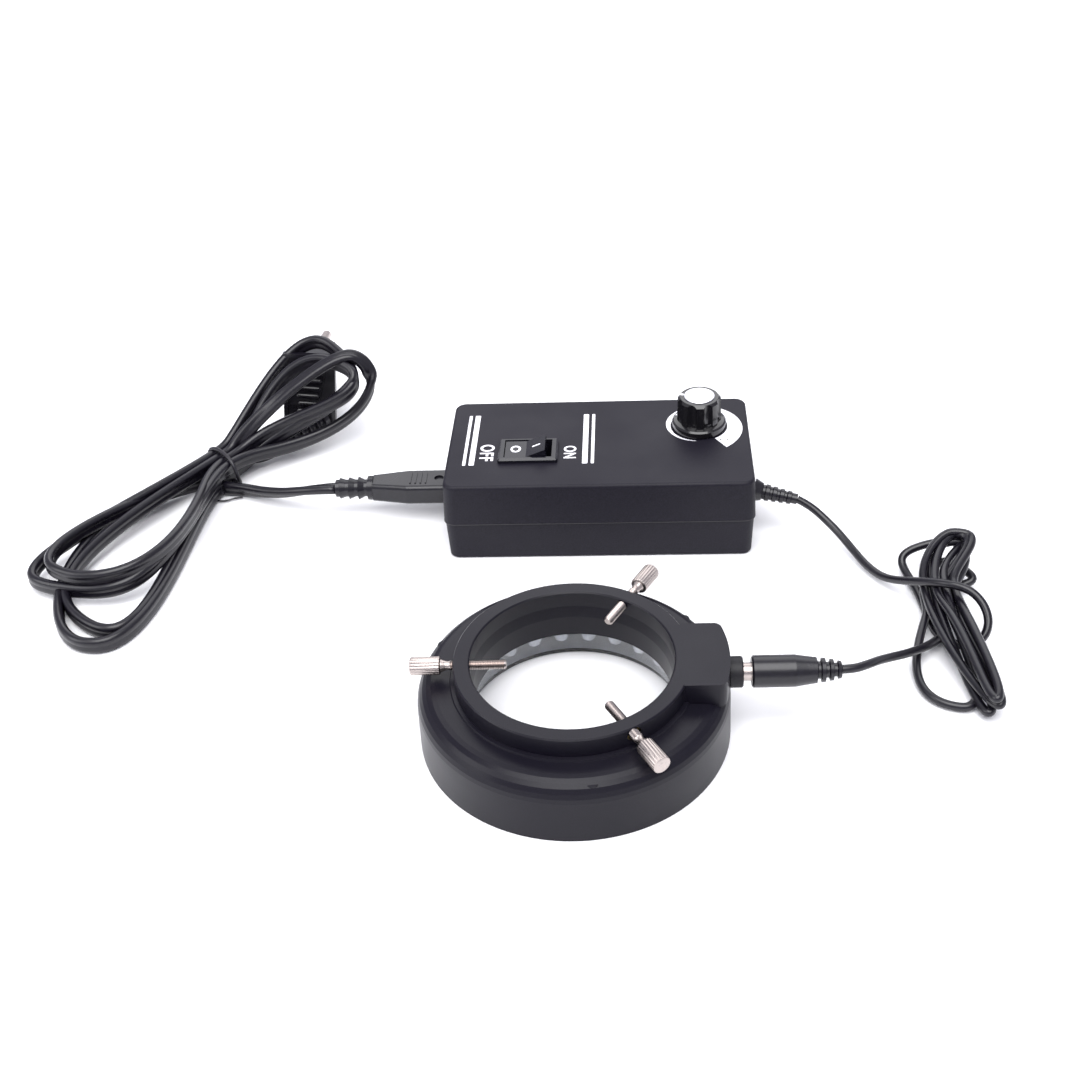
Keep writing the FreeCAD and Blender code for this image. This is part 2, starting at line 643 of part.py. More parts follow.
def make_knob():
    place = BOX * Placement(Vector(KNOB_X.value, KNOB_Y.value, PANEL_Z.value), Rotation())
    foot = 0.5
    deck = 3.4
    top = KNOB_H - 0.4
    skirt = turned([(7.6, foot), (SKIRT_R, foot), (SKIRT_R, deck - 1.0), (SKIRT_R - 0.6, deck - 0.5),
                    (KNOB_R - 0.4, deck), (KNOB_R - 0.4, deck + 1.0), (SHAFT_R, deck + 1.0),
                    (SHAFT_R, deck), (7.6, deck - 0.4)])
    body = turned([(SHAFT_R, deck), (KNOB_R + 0.1, deck), (KNOB_R - 0.1, top - 0.8),
                   (KNOB_R - 1.0, top), (0, top), (0, top - 2.6), (SHAFT_R, top - 2.6)])
    flutes = [rod(2.6, 14.0, polar(KNOB_R + 1.7, 22.5 + 45.0 * index) + Vector(0, 0, deck))
              for index in range(8)]
    seat = rod(5.5, 1.0, (0, 0, top - 0.3))
    drilled = rod(1.25, 12.0, (0, SHAFT_R, 7.0), (0, 1, 0))
    node(cut(fuse(skirt, cut(body, *flutes)), seat, drilled), "knob", place)
    cap = turned([(0, top - 0.3), (5.45, top - 0.3), (5.45, KNOB_H - 0.15), (5.2, KNOB_H), (0, KNOB_H)])
    node(cap, "knob_cap", place)
    grub = rod(1.2, 3.2, (0, SHAFT_R, 7.0), (0, 1, 0))
    node(grub, "knob_set_screw", place)


def make_dial():
    """The printed brightness wedge: a spiral that grows from thin to thick."""
    place = BOX * Placement(Vector(KNOB_X.value, KNOB_Y.value, PANEL_Z.value), Rotation())
    first, last = -58.0, 262.0
    steps = 16
    outer = []
    for index in range(steps + 1):
        part = index / steps
        outer.append(polar(17.2 - 6.9 * part ** 0.8, first + (last - first) * part))
    inner = [polar(10.2, last), polar(10.2, (first + last) / 2), polar(10.2, first)]
    spiral = Part.BSplineCurve()
    spiral.interpolate(outer)
    edges = [spiral.toShape(), Part.LineSegment(outer[-1], inner[0]).toShape(),
             Part.Arc(*inner).toShape(), Part.LineSegment(inner[2], outer[0]).toShape()]
    label = doc.addObject("Part::Feature", "Dial")
    label.Shape = Part.Face(Part.Wire(edges)).extrude(Vector(0, 0, 0.12))
    return node(label, "dial_label", place)


def make_inlet(*shells):
    wall = -BOX_W / 2 + 0.7
    housing = block(wall, wall + 16.0, INLET_Y - INLET_OPEN_D / 2 + 0.1, INLET_Y + INLET_OPEN_D / 2 - 0.1,
                    INLET_Z - INLET_OPEN_H / 2 + 0.1, INLET_Z + INLET_OPEN_H / 2 - 0.1)
    face = wall - FLANGE_T - 0.7
    flange = block(face, wall, INLET_Y - FLANGE_D / 2, INLET_Y + FLANGE_D / 2,
                   INLET_Z - FLANGE_H / 2, INLET_Z + FLANGE_H / 2)
    start = (number(face) - 1.0, INLET_Y.value, INLET_Z.value)
    cavity = stadium(CONNECTOR_W + 2 * LOOSE, CONNECTOR_H + 2 * LOOSE, 14.5, start, (1, 0, 0))
    node(cut(fuse(housing, flange), cavity, *shells), "mains_inlet", BOX)
    back = number(wall) + 11.8
    pins = [rod(1.15, 9.0, (back - 8.9, INLET_Y.value + side, INLET_Z), OUTWARD) for side in (-3.3, 3.3)]
    node(group(pins), "inlet_pins", BOX)


def make_box_wires():
    """Short hook-up wires from the inlet and the switch to the board."""
    wires = [rod(0.9, 5.2, (-33.0, side, PCB_TOP), UP) for side in (-6.0, 6.0)]
    wires += [rod(0.9, 5.2, (SWITCH_X.value + x, SWITCH_Y.value, PCB_TOP), UP) for x in (-5.6, 4.4)]
    return node(group(wires), "box_wires", BOX)


bottom_shell = make_bottom_shell()
top_shell = make_top_shell()
make_case_screws()
make_board()
make_switch()
make_dimmer()
make_knob()
make_dial()
make_inlet(bottom_shell, top_shell)
make_box_wires()


# ---------------------------------------------------------------- low-voltage lead

def ribs(length, count, root, tip, core):
    """The outline of a ribbed strain relief, from its thick end at 0 to its thin end."""
    outline = [(0, 0), (root, 0)]
    pitch = length / count
    for index in range(count):
        low = index * pitch
        radius = root + (tip - root) * (index + 0.5) / count
        outline += [(radius, low + 0.55 * pitch), (core, low + 0.6 * pitch), (core, low + 0.95 * pitch)]
    outline += [(core, length), (0, length)]
    return outline


RELIEF_START = Vector(number(BOX_X) + 54.0, number(BOX_Y) + number(RELIEF_Y), number(BOX_JOINT))
RELIEF_DIRECTION = Vector(15.4, -3.2, -2.2)
RELIEF_LENGTH = 15.6
BOOT_START = RELIEF_START + Vector(1.0, 0, 0)
relief_end = BOOT_START + RELIEF_DIRECTION.normalize() * RELIEF_LENGTH


def make_relief():
    neck = rod(3.0, 8.0, RELIEF_START - Vector(6.0, 0, 0), OUTWARD)
    inner_flange = rod(4.6, 1.5, RELIEF_START - Vector(4.2, 0, 0), OUTWARD)
    boot = turned([(0, 0), (4.3, 0), (3.4, 2.2), (3.1, 3.0), (2.6, 3.2), (2.6, 4.0), (3.0, 4.3),
                   (2.9, 5.6), (2.4, 5.8), (2.4, 6.6), (2.8, 6.9), (2.7, 8.2), (2.2, 8.4),
                   (2.2, 9.2), (2.6, 9.5), (2.5, 10.8), (2.0, 11.0), (2.0, 11.8), (2.4, 12.1),
                   (2.3, 13.4), (1.9, 13.6), (1.9, RELIEF_LENGTH), (0, RELIEF_LENGTH)])
    boot.Placement = Placement(BOOT_START, Rotation(UP, RELIEF_DIRECTION))
    outside = block(BOX_X + BOX_W / 2 + 0.02, BOX_X + BOX_W / 2 + 30.0, RELIEF_START.y - 15.0,
                    RELIEF_START.y + 15.0, 0.0, 40.0)
    return node(fuse(neck, inner_flange, common(boot, outside)), "dc_strain_relief")


PLUG_AXIS = RING * aimed((0, 0, JACK_Z), OUTWARD)


def make_dc_plug():
    barrel = turned([(1.4, 41.6), (2.45, 41.6), (2.75, 41.9), (2.75, PLUG_FACE + 4.0),
                     (1.4, PLUG_FACE + 4.0)])
    node(barrel, "dc_plug_barrel", PLUG_AXIS)
    moulding = turned([
        (0, PLUG_FACE + 4.1), (2.8, PLUG_FACE + 4.1), (2.8, PLUG_FACE), (4.3, PLUG_FACE),
        (4.85, PLUG_FACE + 0.5), (4.85, 66.0), (4.3, 69.5), (3.9, 72.4), (2.6, 72.8), (2.6, 73.5),
        (3.7, 73.8), (3.6, 74.9), (2.4, 75.2), (2.4, 76.0), (3.3, 76.3), (3.2, 77.3), (2.1, 77.6),
        (2.1, 78.4), (2.8, 78.7), (2.6, 79.6), (1.9, 79.9), (0, 79.9)])
    node(moulding, "dc_plug_body", PLUG_AXIS)


make_relief()
make_dc_plug()


def flat_pad(points, low, high):
    """A plate of any plan outline between two heights."""
    return padded(points, high - low, lift=low)


DC_HANK_H = 17.0


def make_dc_hank():
    outline = [(101.2, 18.9), (104.0, 30.5), (110.0, 36.8), (119.5, 43.5), (126.0, 46.5), (130.0, 41.0),
               (129.4, 27.8), (127.5, 10.0), (128.9, 0.0), (126.5, -20.0), (125.1, -38.0),
               (121.3, -46.5), (115.5, -48.5), (108.0, -45.0), (101.5, -36.0), (99.6, -24.0),
               (104.0, -8.0), (105.5, 5.0)]
    return node(flat_pad(outline, 0.2, DC_HANK_H), "dc_hank")


DC_BOX_ROUTE = [tuple(relief_end), (78.5, 51.0, 9.8), (85.0, 45.0, 4.4), (90.5, 35.5, 1.9),
                (97.0, 25.5, 1.6), (106.0, 18.5, 3.0)]
plug_end = PLUG_AXIS.multVec(Vector(0, 0, 79.9))
DC_PLUG_ROUTE = [tuple(plug_end), (81.5, -44.2, 19.3), (89.0, -38.8, 16.0), (96.0, -31.0, 11.5),
                 (102.0, -23.0, 8.0)]
make_dc_hank()
cord("dc_cord_to_box", DC_BOX_ROUTE, DC_R)
cord("dc_cord_to_plug", DC_PLUG_ROUTE, DC_R)


# ---------------------------------------------------------------- mains lead

CONNECTOR_X = number(BOX_X) - number(BOX_W) / 2 - 1.2
CONNECTOR_Y = number(BOX_Y) + number(INLET_Y)
BODY_LEN = 28.0
STRAIGHT = 15.0
RELIEF_LEN = 14.0


def make_mains_connector():
    place = Placement(Vector(CONNECTOR_X, CONNECTOR_Y, number(INLET_Z)), Rotation())
    plan = padded([(0, -6.3), (0, 6.3), (-STRAIGHT, 6.3), (-BODY_LEN, 4.3), (-BODY_LEN, -4.3),
                   (-STRAIGHT, -6.3)], 10.0, lift=-5.0)
    side = padded([(0, -3.9), (0, 3.9), (-STRAIGHT, 3.9), (-BODY_LEN, 3.6), (-BODY_LEN, -3.6),
                   (-STRAIGHT, -3.9)], 20.0, plane="XZ_Plane", lift=-10.0)
    solid = common(plan, side)
    doc.recompute()
    soft = doc.addObject("Part::Fillet", "Soft")
    soft.Base = solid
    soft.Edges = [(index, 1.7, 1.7) for index, edge in enumerate(solid.Shape.Edges, 1)
                  if edge.BoundBox.XLength > 10]
    grips = [block(-14.0 + 1.9 * index, -13.5 + 1.9 * index, -3.4, 3.4, 3.5, 4.2) for index in range(4)]
    boot = turned(ribs(RELIEF_LEN, 4, 4.5, 3.8, 3.2))
    boot.Placement = aimed((-BODY_LEN, 0, 0), (-1, 0, 0))
    nose = stadium(CONNECTOR_W, CONNECTOR_H, 11.5, (-0.5, 0, 0), (1, 0, 0))
    dimple = rod(1.7, 2.0, (-3.4, 0, 3.2))
    holes = [rod(1.9, 12.0, (1.9, side_y, 0), OUTWARD) for side_y in (-3.3, 3.3)]
    whole = cut(fuse(soft, nose, boot, *grips), dimple, *holes)
    node(whole, "mains_connector", place)
    sleeves = [cut(rod(1.9, 9.0, (2.0, side_y, 0), OUTWARD), rod(1.5, 12.0, (1.0, side_y, 0), OUTWARD))
               for side_y in (-3.3, 3.3)]
    node(group(sleeves), "connector_contacts", place)


PLUG_W = 21.0
PLUG_H = 32.0
PLUG_T = 24.0
PIN_LEN = 19.0
PIN_R = 2.0
PIN_LOW = PLUG_H / 2 - 9.5
PIN_ROOT = PLUG_T - 8.0
PIN_SPACING = 19.0
PLATE_T = 3.0
PLUG_BOOT_START = Vector(5.5, 0.5, 5.2)
PLUG_BOOT_DIRECTION = Vector(-11.7, -14.6, -4.7)
PLUG_BOOT_LEN = 19.3
PLUG_ROLL = 5.8
ROLL_LIFT = PLUG_W / 2 * math.sin(math.radians(PLUG_ROLL))
PLUG_LEAN = math.degrees(math.atan2(PIN_LOW + ROLL_LIFT - PIN_R, PLUG_T + PIN_LEN - PLATE_T))
PLUG_PLACE = (Placement(Vector(-119.0, 127.7, 0.15), Rotation(UP, 0.5))
              * Placement(Vector(), Rotation(Vector(1, 0, 0), -PLUG_LEAN))
              * Placement(Vector(PLUG_W / 2, -PLATE_T, 0), Rotation(Vector(0, 1, 0), PLUG_ROLL))
              * Placement(Vector(-PLUG_W / 2, 0, 0), Rotation()))


def make_mains_plug():
    """A two-pin wall plug that stands on a corner of its back plate and on its lower pin."""
    back = block(-PLUG_W / 2, PLUG_W / 2, 0.0, PLATE_T, 0.0, PLUG_H)
    front = padded([(-PLUG_W / 2 + 1.2, 2.5), (PLUG_W / 2 - 1.2, 2.5), (8.2, 8.0),
                    (6.6, PLUG_T), (-6.6, PLUG_T), (-8.2, 8.0)], PLUG_H - 5.6, lift=2.8)
    frame = block(-PLUG_W / 2 + 1.6, PLUG_W / 2 - 1.6, -1.0, 0.7, 1.6, PLUG_H - 1.6)
    grip = padded([(-6.5, 3.0), (6.5, 3.0), (3.8, 12.0), (6.5, 26.0), (-6.5, 26.0), (-3.8, 12.0)], 2.6,
                  plane="XZ_Plane", lift=-2.6)
    body = fuse(cut(fuse(back, front), frame), grip)
    doc.recompute()
    boot = turned(ribs(PLUG_BOOT_LEN, 5, 4.2, 3.4, 2.6))
    boot.Placement = Placement(PLUG_BOOT_START, Rotation(UP, PLUG_BOOT_DIRECTION))
    holes = [rod(PIN_R - 0.2, PLUG_T, (0, PIN_ROOT, PIN_LOW + PIN_SPACING * index), (0, 1, 0))
             for index in (0, 1)]
    node(cut(fuse(body, boot), *holes), "mains_plug", PLUG_PLACE)
    pin = turned([(0, 0), (PIN_R - 0.2, 0), (PIN_R - 0.2, 8.0), (PIN_R, 8.0), (PIN_R, 6.0 + PIN_LEN),
                  (PIN_R - 0.8, 8.0 + PIN_LEN), (0, 8.0 + PIN_LEN)])
    places = [PLUG_PLACE * aimed((0, PIN_ROOT, PIN_LOW + PIN_SPACING * index), (0, 1, 0))
              for index in (0, 1)]
    node(copies(pin, places), "plug_pins")


WAIST = Vector(-146.3, 90.0, 0)
BUNDLE = Vector(0.56, 0.83, 0)
WAIST_W = 19.0
WAIST_H = 12.5
LOBE_TOP = 40.5


def tie_loop():
    loop = cut(block(-0.9, 0.9, -WAIST_W / 2 - 1.0, WAIST_W / 2 + 1.0, 0.2, WAIST_H + 1.0),
               block(-2.0, 2.0, -WAIST_W / 2, WAIST_W / 2, 1.2, WAIST_H))
    loop.Placement = Placement(WAIST, Rotation(Vector(1, 0, 0), BUNDLE))
    return loop


def make_mains_hank():
    lower = flat_pad([(-152.5, 97.0), (-171.5, 74.5), (-186.5, 58.0), (-197.0, 44.0), (-201.0, 31.0),
                      (-199.0, 20.0), (-190.0, 4.0), (-182.0, -8.0), (-172.5, -15.0), (-164.0, -14.0),
                      (-155.0, 0.5), (-150.5, 16.5), (-148.0, 40.0), (-146.5, 62.0), (-140.0, 83.0),
                      (-143.0, 95.0)], 0.2, WAIST_H)
    upper = flat_pad([(-140.0, 83.0), (-128.0, 94.0), (-112.0, 99.0), (-99.0, 110.0), (-92.5, 127.0),
                      (-93.5, 146.0), (-103.0, 158.0), (-118.0, 163.0), (-131.0, 160.0),
                      (-138.5, 148.0), (-145.0, 124.0), (-152.5, 97.0)], 0.2, LOBE_TOP)
    slope = padded([(80.0, WAIST_H), (100.0, WAIST_H), (126.0, LOBE_TOP), (126.0, 60.0), (80.0, 60.0)],
                   120.0, plane="YZ_Plane", lift=-180.0)
    plug_room = block(-134.5, -104.5, 121.0, 175.0, -1.0, 35.8)
    boot_room = block(-137.0, -107.0, 104.0, 126.0, -1.0, 12.0)
    whole = cut(fuse(lower, cut(upper, slope, plug_room, boot_room)), tie_loop())
    return node(whole, "mains_hank")


def make_tie():
    tail_start = WAIST + Vector(8.2, -5.5, 2.0)
    tail = rod(0.45, 11.0, tail_start, Vector(0.95, -0.1, -0.06))
    return node(fuse(tie_loop(), tail), "twist_tie")


CONNECTOR_END = (CONNECTOR_X - BODY_LEN - RELIEF_LEN, CONNECTOR_Y, number(INLET_Z))
MAINS_BOX_ROUTE = [CONNECTOR_END, (-108.0, 68.2, 10.3), (-119.0, 72.5, 6.2), (-130.0, 78.5, 3.3),
                   (-142.0, 86.0, 2.8)]
boot_tip = PLUG_PLACE.multVec(PLUG_BOOT_START + Vector(PLUG_BOOT_DIRECTION).normalize() * PLUG_BOOT_LEN)
MAINS_PLUG_ROUTE = [tuple(boot_tip), (-131.0, 103.6, 4.4), (-138.0, 98.4, 3.6)]

make_mains_connector()
make_mains_plug()
make_mains_hank()
make_tie()
cord("mains_cord_to_connector", MAINS_BOX_ROUTE, MAINS_R)
cord("mains_cord_to_plug", MAINS_PLUG_ROUTE, MAINS_R)


# ---------------------------------------------------------------- check and write

doc.recompute()
for thing in doc.Objects:
    if "Invalid" in thing.State or "Error" in thing.State:
        raise RuntimeError(f"{thing.Name} ({thing.Label}) failed: {thing.State}")
os.makedirs("parts", exist_ok=True)
for thing in nodes:
    shape = thing.Shape
    if shape.isNull() or not shape.isValid() or not shape.Solids:
        raise RuntimeError(f"{thing.Label} has no valid solid")
    shape.exportStep(f"parts/{thing.Label}.step")
    box = shape.optimalBoundingBox()
    print(f"{thing.Label:26s} solids {len(shape.Solids):3d}  volume {shape.Volume:9.1f}  "
          f"x {box.XMin:7.1f}..{box.XMax:6.1f}  y {box.YMin:6.1f}..{box.YMax:6.1f}  "
          f"z {box.ZMin:5.2f}..{box.ZMax:5.2f}")
print(len(nodes), "nodes")
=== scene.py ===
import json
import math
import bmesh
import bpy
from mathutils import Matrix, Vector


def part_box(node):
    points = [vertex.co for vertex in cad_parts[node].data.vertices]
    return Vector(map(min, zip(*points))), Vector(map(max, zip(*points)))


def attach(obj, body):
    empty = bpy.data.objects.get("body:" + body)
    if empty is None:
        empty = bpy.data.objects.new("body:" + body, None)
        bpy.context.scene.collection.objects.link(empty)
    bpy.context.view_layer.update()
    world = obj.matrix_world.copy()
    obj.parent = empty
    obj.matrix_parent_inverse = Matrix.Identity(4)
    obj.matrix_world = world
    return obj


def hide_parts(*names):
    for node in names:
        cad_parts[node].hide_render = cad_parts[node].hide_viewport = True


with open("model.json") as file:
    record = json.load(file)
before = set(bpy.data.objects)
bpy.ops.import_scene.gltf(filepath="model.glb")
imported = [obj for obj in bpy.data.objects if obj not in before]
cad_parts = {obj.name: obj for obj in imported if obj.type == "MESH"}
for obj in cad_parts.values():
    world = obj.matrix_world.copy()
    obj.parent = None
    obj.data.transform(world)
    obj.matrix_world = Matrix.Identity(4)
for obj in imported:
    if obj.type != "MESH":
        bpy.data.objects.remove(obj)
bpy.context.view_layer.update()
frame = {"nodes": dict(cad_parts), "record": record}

# %% [markdown]
# # A ring lamp for a stereo microscope, with its dimmer box
#
# This lesson dresses a finished CAD model: a black lamp ring with three thumbscrews, a dimmer box
# with a rocker switch and a knob, a mains lead and a low-voltage lead. The hard parts come in from
# CAD with their true sizes, so the lesson is about what CAD leaves plain: soft cords, knurling,
# printing, and how each surface meets the light.
#
# First we fetch Blender's modules. All lengths in Blender are metres, while a maker thinks in
# millimetres, so one small value turns one into the other.

MM = 0.001


def mm(x, y, z):
    """A place given in millimetres, as a vector in metres."""
    return Vector((x, y, z)) * MM


def show(name, data):
    """A new object that shows the data, linked to the scene."""
    made = bpy.data.objects.new(name, data)
    bpy.context.collection.objects.link(made)
    return made


# %% [markdown]
# ## The camera
#
# The camera looks down on the table at about 36 degrees, from the side of the ring. A lens of
# 48 mm is close to what the eye sees, so the box behind doesn't look small. We give the camera
# its three directions at once as the columns of a matrix: right, up, and backwards, because
# Blender's cameras look along their own minus Z.

# %% Camera
right = Vector((0.99756, 0.04664, -0.05192))
up = Vector((0.01421, 0.59262, 0.80536))
back = right.cross(up)
camera_data = bpy.data.cameras.new("camera")
camera_data.lens = 48.04
camera_data.sensor_width = 36.0
camera_data.clip_start = 0.01
camera = show("camera", camera_data)
turned_to = Matrix((right, up, back)).transposed().to_4x4()
camera.matrix_world = Matrix.Translation(mm(14.08, -370.42, 307.74)) @ turned_to
bpy.context.scene.camera = camera
bpy.context.scene.view_settings.view_transform = "Standard"
print("camera at", [round(value, 3) for value in camera.location])

# %% [markdown]
# ## A cord is a line first
#
# A cord bends smoothly, because its copper is stiff. A NURBS curve of order 3 is a good model: we
# hand it a few points, and it rounds every corner between them. The order is set after the points
# are there, because Blender caps it at the number of points.
#
# The thickness is a bevel of one metre scaled by each point's own radius. It comes to the same
# width as a thin bevel with a radius of one, but Blender adds the point's radius to the box that it
# reports for the curve, so this way the box is true.
#
# A round cord can stay a curve with a bevel. For a flat cord we need the line itself, to skin it
# ourselves, so a second helper reads the smooth line back as a list of places.

# %% A smooth line through a route
def smooth_line(name, points, radius=0.0, fineness=6):
    """A NURBS curve object that follows the points. A radius makes it a round cord."""
    data = bpy.data.curves.new(name, "CURVE")
    data.dimensions = "3D"
    data.resolution_u = fineness
    data.bevel_depth = 1.0 if radius else 0.0
    data.bevel_resolution = 4
    data.use_fill_caps = True
    spline = data.splines.new("NURBS")
    spline.points.add(len(points) - 1)
    for corner, place in zip(spline.points, points):
        corner.co = (*place, 1.0)
        corner.radius = radius
    spline.order_u = 3
    spline.use_endpoint_u = True
    return show(name, data)


def places_along(line):
    """The places that a curve object without a bevel runs through."""
    read = bpy.data.meshes.new_from_object(line)
    places = [vertex.co.copy() for vertex in read.vertices]
    bpy.data.meshes.remove(read)
    return places


def line_length(places):
    return sum((b - a).length for a, b in zip(places, places[1:]))


# %% [markdown]
# ## Winding a hank
#
# Both leads are folded into a hank: the cord runs out into a lobe, turns, comes back through the
# waist where it is tied, and runs out into a lobe on the other side. Each lobe is two Bezier arcs
# that meet at its tip. Where a lobe leaves and comes back to the waist is a slot, one cord's width
# from the next, so the strands lie beside and on each other there.
#
# Each lobe is described as a winder would: where its tip lies, which way the cord runs there, how
# wide it swings before and after the tip, how far it runs straight from the waist on its way out
# and back, how it fans from the hank's middle line in degrees, and how much it climbs at the two
# ends and at the tip.

# %% Lobes from a tie
ABOVE_FLOOR = 0.1


def arc(a, b, c, d, t):
    """A place on a Bezier arc."""
    return a * (1 - t) ** 3 + b * 3 * t * (1 - t) ** 2 + c * 3 * t * t * (1 - t) + d * t ** 3


def fanned(direction, degrees):
    return Matrix.Rotation(math.radians(degrees), 3, "Z") @ direction


def lobe(leave, arrive, outward, tip, heading, swing, run, fan, climb, lowest, steps=8):
    """The places round one lobe, from the waist out to its tip and back, in millimetres."""
    across = Vector((math.cos(math.radians(heading)), math.sin(math.radians(heading)), 0))
    tip = Vector(tip)
    rise = Vector((0, 0, climb[2]))
    first = leave + fanned(outward, fan[0]) * run[0] + Vector((0, 0, climb[0]))
    last = arrive + fanned(outward, fan[1]) * run[1] + Vector((0, 0, climb[1]))
    places = [arc(leave, first, tip - across * swing[0] - rise, tip, step / steps)
              for step in range(steps)]
    places += [arc(tip, tip + across * swing[1] + rise, last, arrive, step / steps)
               for step in range(steps + 1)]
    for place in places:
        place.z = max(place.z, lowest)
    return places


# %% [markdown]
# ## The low-voltage lead
#
# It is a round cord of 2.8 mm from the dimmer box to the ring. Its middle is folded into a small
# hank that has been pulled into a knot by one turn of the cord itself. The strand from the box
# goes over the waist of the hank, round it and under it, and then the folds begin.

# %% Low-voltage lead: where its folds go
DC_DIAMETER = 2.8
DC_WAIST = Vector((112.5, 3.5, 0))
DC_SLOTS = {1: (-4.5, 1.6), 2: (4.5, 7.6), 3: (-4.5, 7.6), 4: (4.5, 10.6), 5: (-1.5, 10.6),
            6: (1.5, 7.6), 7: (-1.5, 7.6), 8: (1.5, 10.6), 9: (-4.5, 4.6), 10: (1.5, 1.6)}
DC_LOBES = [
    (1, (111, 30, 9), 4, (14, 13), (17, 21), (2, -36), (0, 4, 4)),
    (-1, (121, -48, 7), 177, (4, 3), (18, 20), (-3, 3), (2, 0, -1)),
    (1, (120, 28.5, 15.6), 2, (4, 15), (14, 6), (3, -2), (3, 3, 0)),
    (-1, (119.5, -49, 10.5), 161, (4, 3), (16, 20), (4, 16), (2, 2, -1)),
    (1, (121, 28.5, 14.8), -12, (3, 11), (13, 6), (-6, -3), (1, 2, 1)),
    (-1, (118.5, -47, 3), 176, (5, 3), (19, 11), (2, 1), (-1, 0, -1)),
    (1, (120, 27.5, 12), 10, (9, 10), (15, 16), (0, -1), (0, -1, 0)),
    (-1, (111.5, -43, 1.6), 170, (11, 18), (16, 19), (0, -22), (-4, -2, 0)),
    (1, (120.5, 23.5, 6), -44, (6, 21), (11, 13), (-5, -1), (0, 1, -1)),
]
dc_exit = (70.6, 52.9, 13.0)
dc_from_box = [dc_exit, (74.6, 51.6, 11.4), (79.7, 47.8, 8.3), (84.6, 42.0, 5.6), (88.6, 34.8, 3.6),
               (92.2, 27.6, 2.4), (96.4, 20.9, 2.6), (100.4, 15.6, 5.2), (104.2, 10.7, 8.6),
               (108.8, 5.6, 12.2), (113.2, 1.6, 14.6), (118.2, -0.9, 15.0), (121.8, -3.6, 14.0),
               (124.4, -7.2, 11.6), (125.2, -11.0, 8.4), (123.4, -14.4, 5.0), (119.0, -15.4, 2.2),
               (113.6, -12.6, 1.5), (109.4, -7.6, 1.5)]
dc_to_plug = [(113.2, -6.6, 1.6), (109.0, -12.8, 2.6), (103.2, -19.8, 5.6), (96.8, -26.4, 9.2),
              (90.9, -32.6, 13.2), (85.8, -38.2, 16.8), (81.4, -43.0, 19.2), (77.2, -45.5, 19.9),
              (72.8, -45.8, 20.0)]

# %% Low-voltage lead: wound and attached to the box
route = [Vector(place) for place in dc_from_box]
for index, (side, tip, heading, swing, run, fan, climb) in enumerate(DC_LOBES, 1):
    outward = Vector((0, side, 0))
    leave, arrive = [DC_WAIST + Vector((DC_SLOTS[number][0], side * 4, DC_SLOTS[number][1]))
                     for number in (index, index + 1)]
    route += lobe(leave, arrive, outward, tip, heading, swing, run, fan, climb,
                  DC_DIAMETER / 2 + ABOVE_FLOOR)
route += [Vector(place) for place in dc_to_plug]
dc_lead = smooth_line("dc_lead", [place * MM for place in route], DC_DIAMETER / 2 * MM)
dc_measure = smooth_line("dc_measure", [place * MM for place in route])
dc_length = line_length(places_along(dc_measure))
bpy.data.objects.remove(dc_measure)
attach(dc_lead, "control_box")
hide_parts("dc_cord_to_box", "dc_hank", "dc_cord_to_plug")
print("low-voltage lead:", round(dc_length, 3), "m")

# %% [markdown]
# ## The mains lead
#
# It is a flat two-core cord, 5.8 mm wide and 3.4 mm thick, with a groove down each face where the
# two cores meet. It stands on its edge in most of the hank, because a flat cord bends easily only
# over its thin way. A round bevel can't show that, so we skin the line ourselves: one copy of the
# cord's section at each place, turned by its lean from standing, joined by four-sided faces.
#
# The cord lies nearly flat where it leaves the connector and where it comes to the plug. One upper
# lobe also turns onto its flat on the way out and is back on its edge when it comes to the waist.

# %% Mains lead: where its folds go
CORD_WIDE = 5.8
CORD_THIN = 3.4
WAIST = Vector((-146.3, 90.0, 0))
ALONG = Vector((0.559, 0.829, 0))
ACROSS = Vector((0.829, -0.559, 0))
HALF_TIE = 7.0
LOW, HIGH = 3.2, 9.2
SLOTS = {1: (5.4, LOW), 2: (-1.8, LOW), 3: (1.8, LOW), 4: (-1.8, HIGH), 5: (5.4, HIGH),
         6: (-5.4, HIGH), 7: (1.8, HIGH), 8: (-5.4, LOW)}
LOBES = [
    (-1, (-173, -11.5, 3), 157, (33, 22), (16, 54), (2, -36), (0, 2, 0)),
    (1, (-106, 122, 34.6), -22, (23, 38), (8, 20), (0, 3), (6, 8, -2)),
    (-1, (-170, -3.5, 3), 148, (29, 37), (23, 55), (15, -4), (1, -2, 0)),
    (1, (-94.6, 122, 36.0), -6, (6, 12), (8, 53), (-1, -25), (8, -8, -8)),
    (-1, (-193.5, 18, 5), 164, (33, 27), (77, 33), (29, 1), (1, 1, -1)),
    (1, (-105.5, 131.5, 34.9), -47, (25, 49), (14, 28), (-2, 2), (8, 8, -7)),
    (-1, (-182, 15.5, 11), 166, (14, 32), (71, 34), (39, -3), (5, 8, 0)),
]
mains_exit = (-97.25, 66.9, 11.5)
from_connector = [mains_exit, (-103.0, 67.0, 11.2), (-110.5, 68.4, 9.6), (-119.0, 71.6, 6.6),
                  (-128.0, 76.0, 4.1), (-136.5, 79.6, 3.2), (-142.5, 80.4, 3.1)]
to_plug = [(-144.4, 101.4, 3.0), (-139.6, 102.6, 3.0), (-134.6, 102.0, 3.2), (-130.0, 105.0, 4.0),
           (-126.4, 109.2, 4.6), (-123.7, 112.6, 4.9)]
STANDING, LYING = 0.0, 80.0
FLAT_LOBE = 4

# %% Mains lead: the line and its lean
def slot_at(number, side):
    across, height = SLOTS[number]
    return WAIST + ACROSS * across + ALONG * side * HALF_TIE + Vector((0, 0, height))


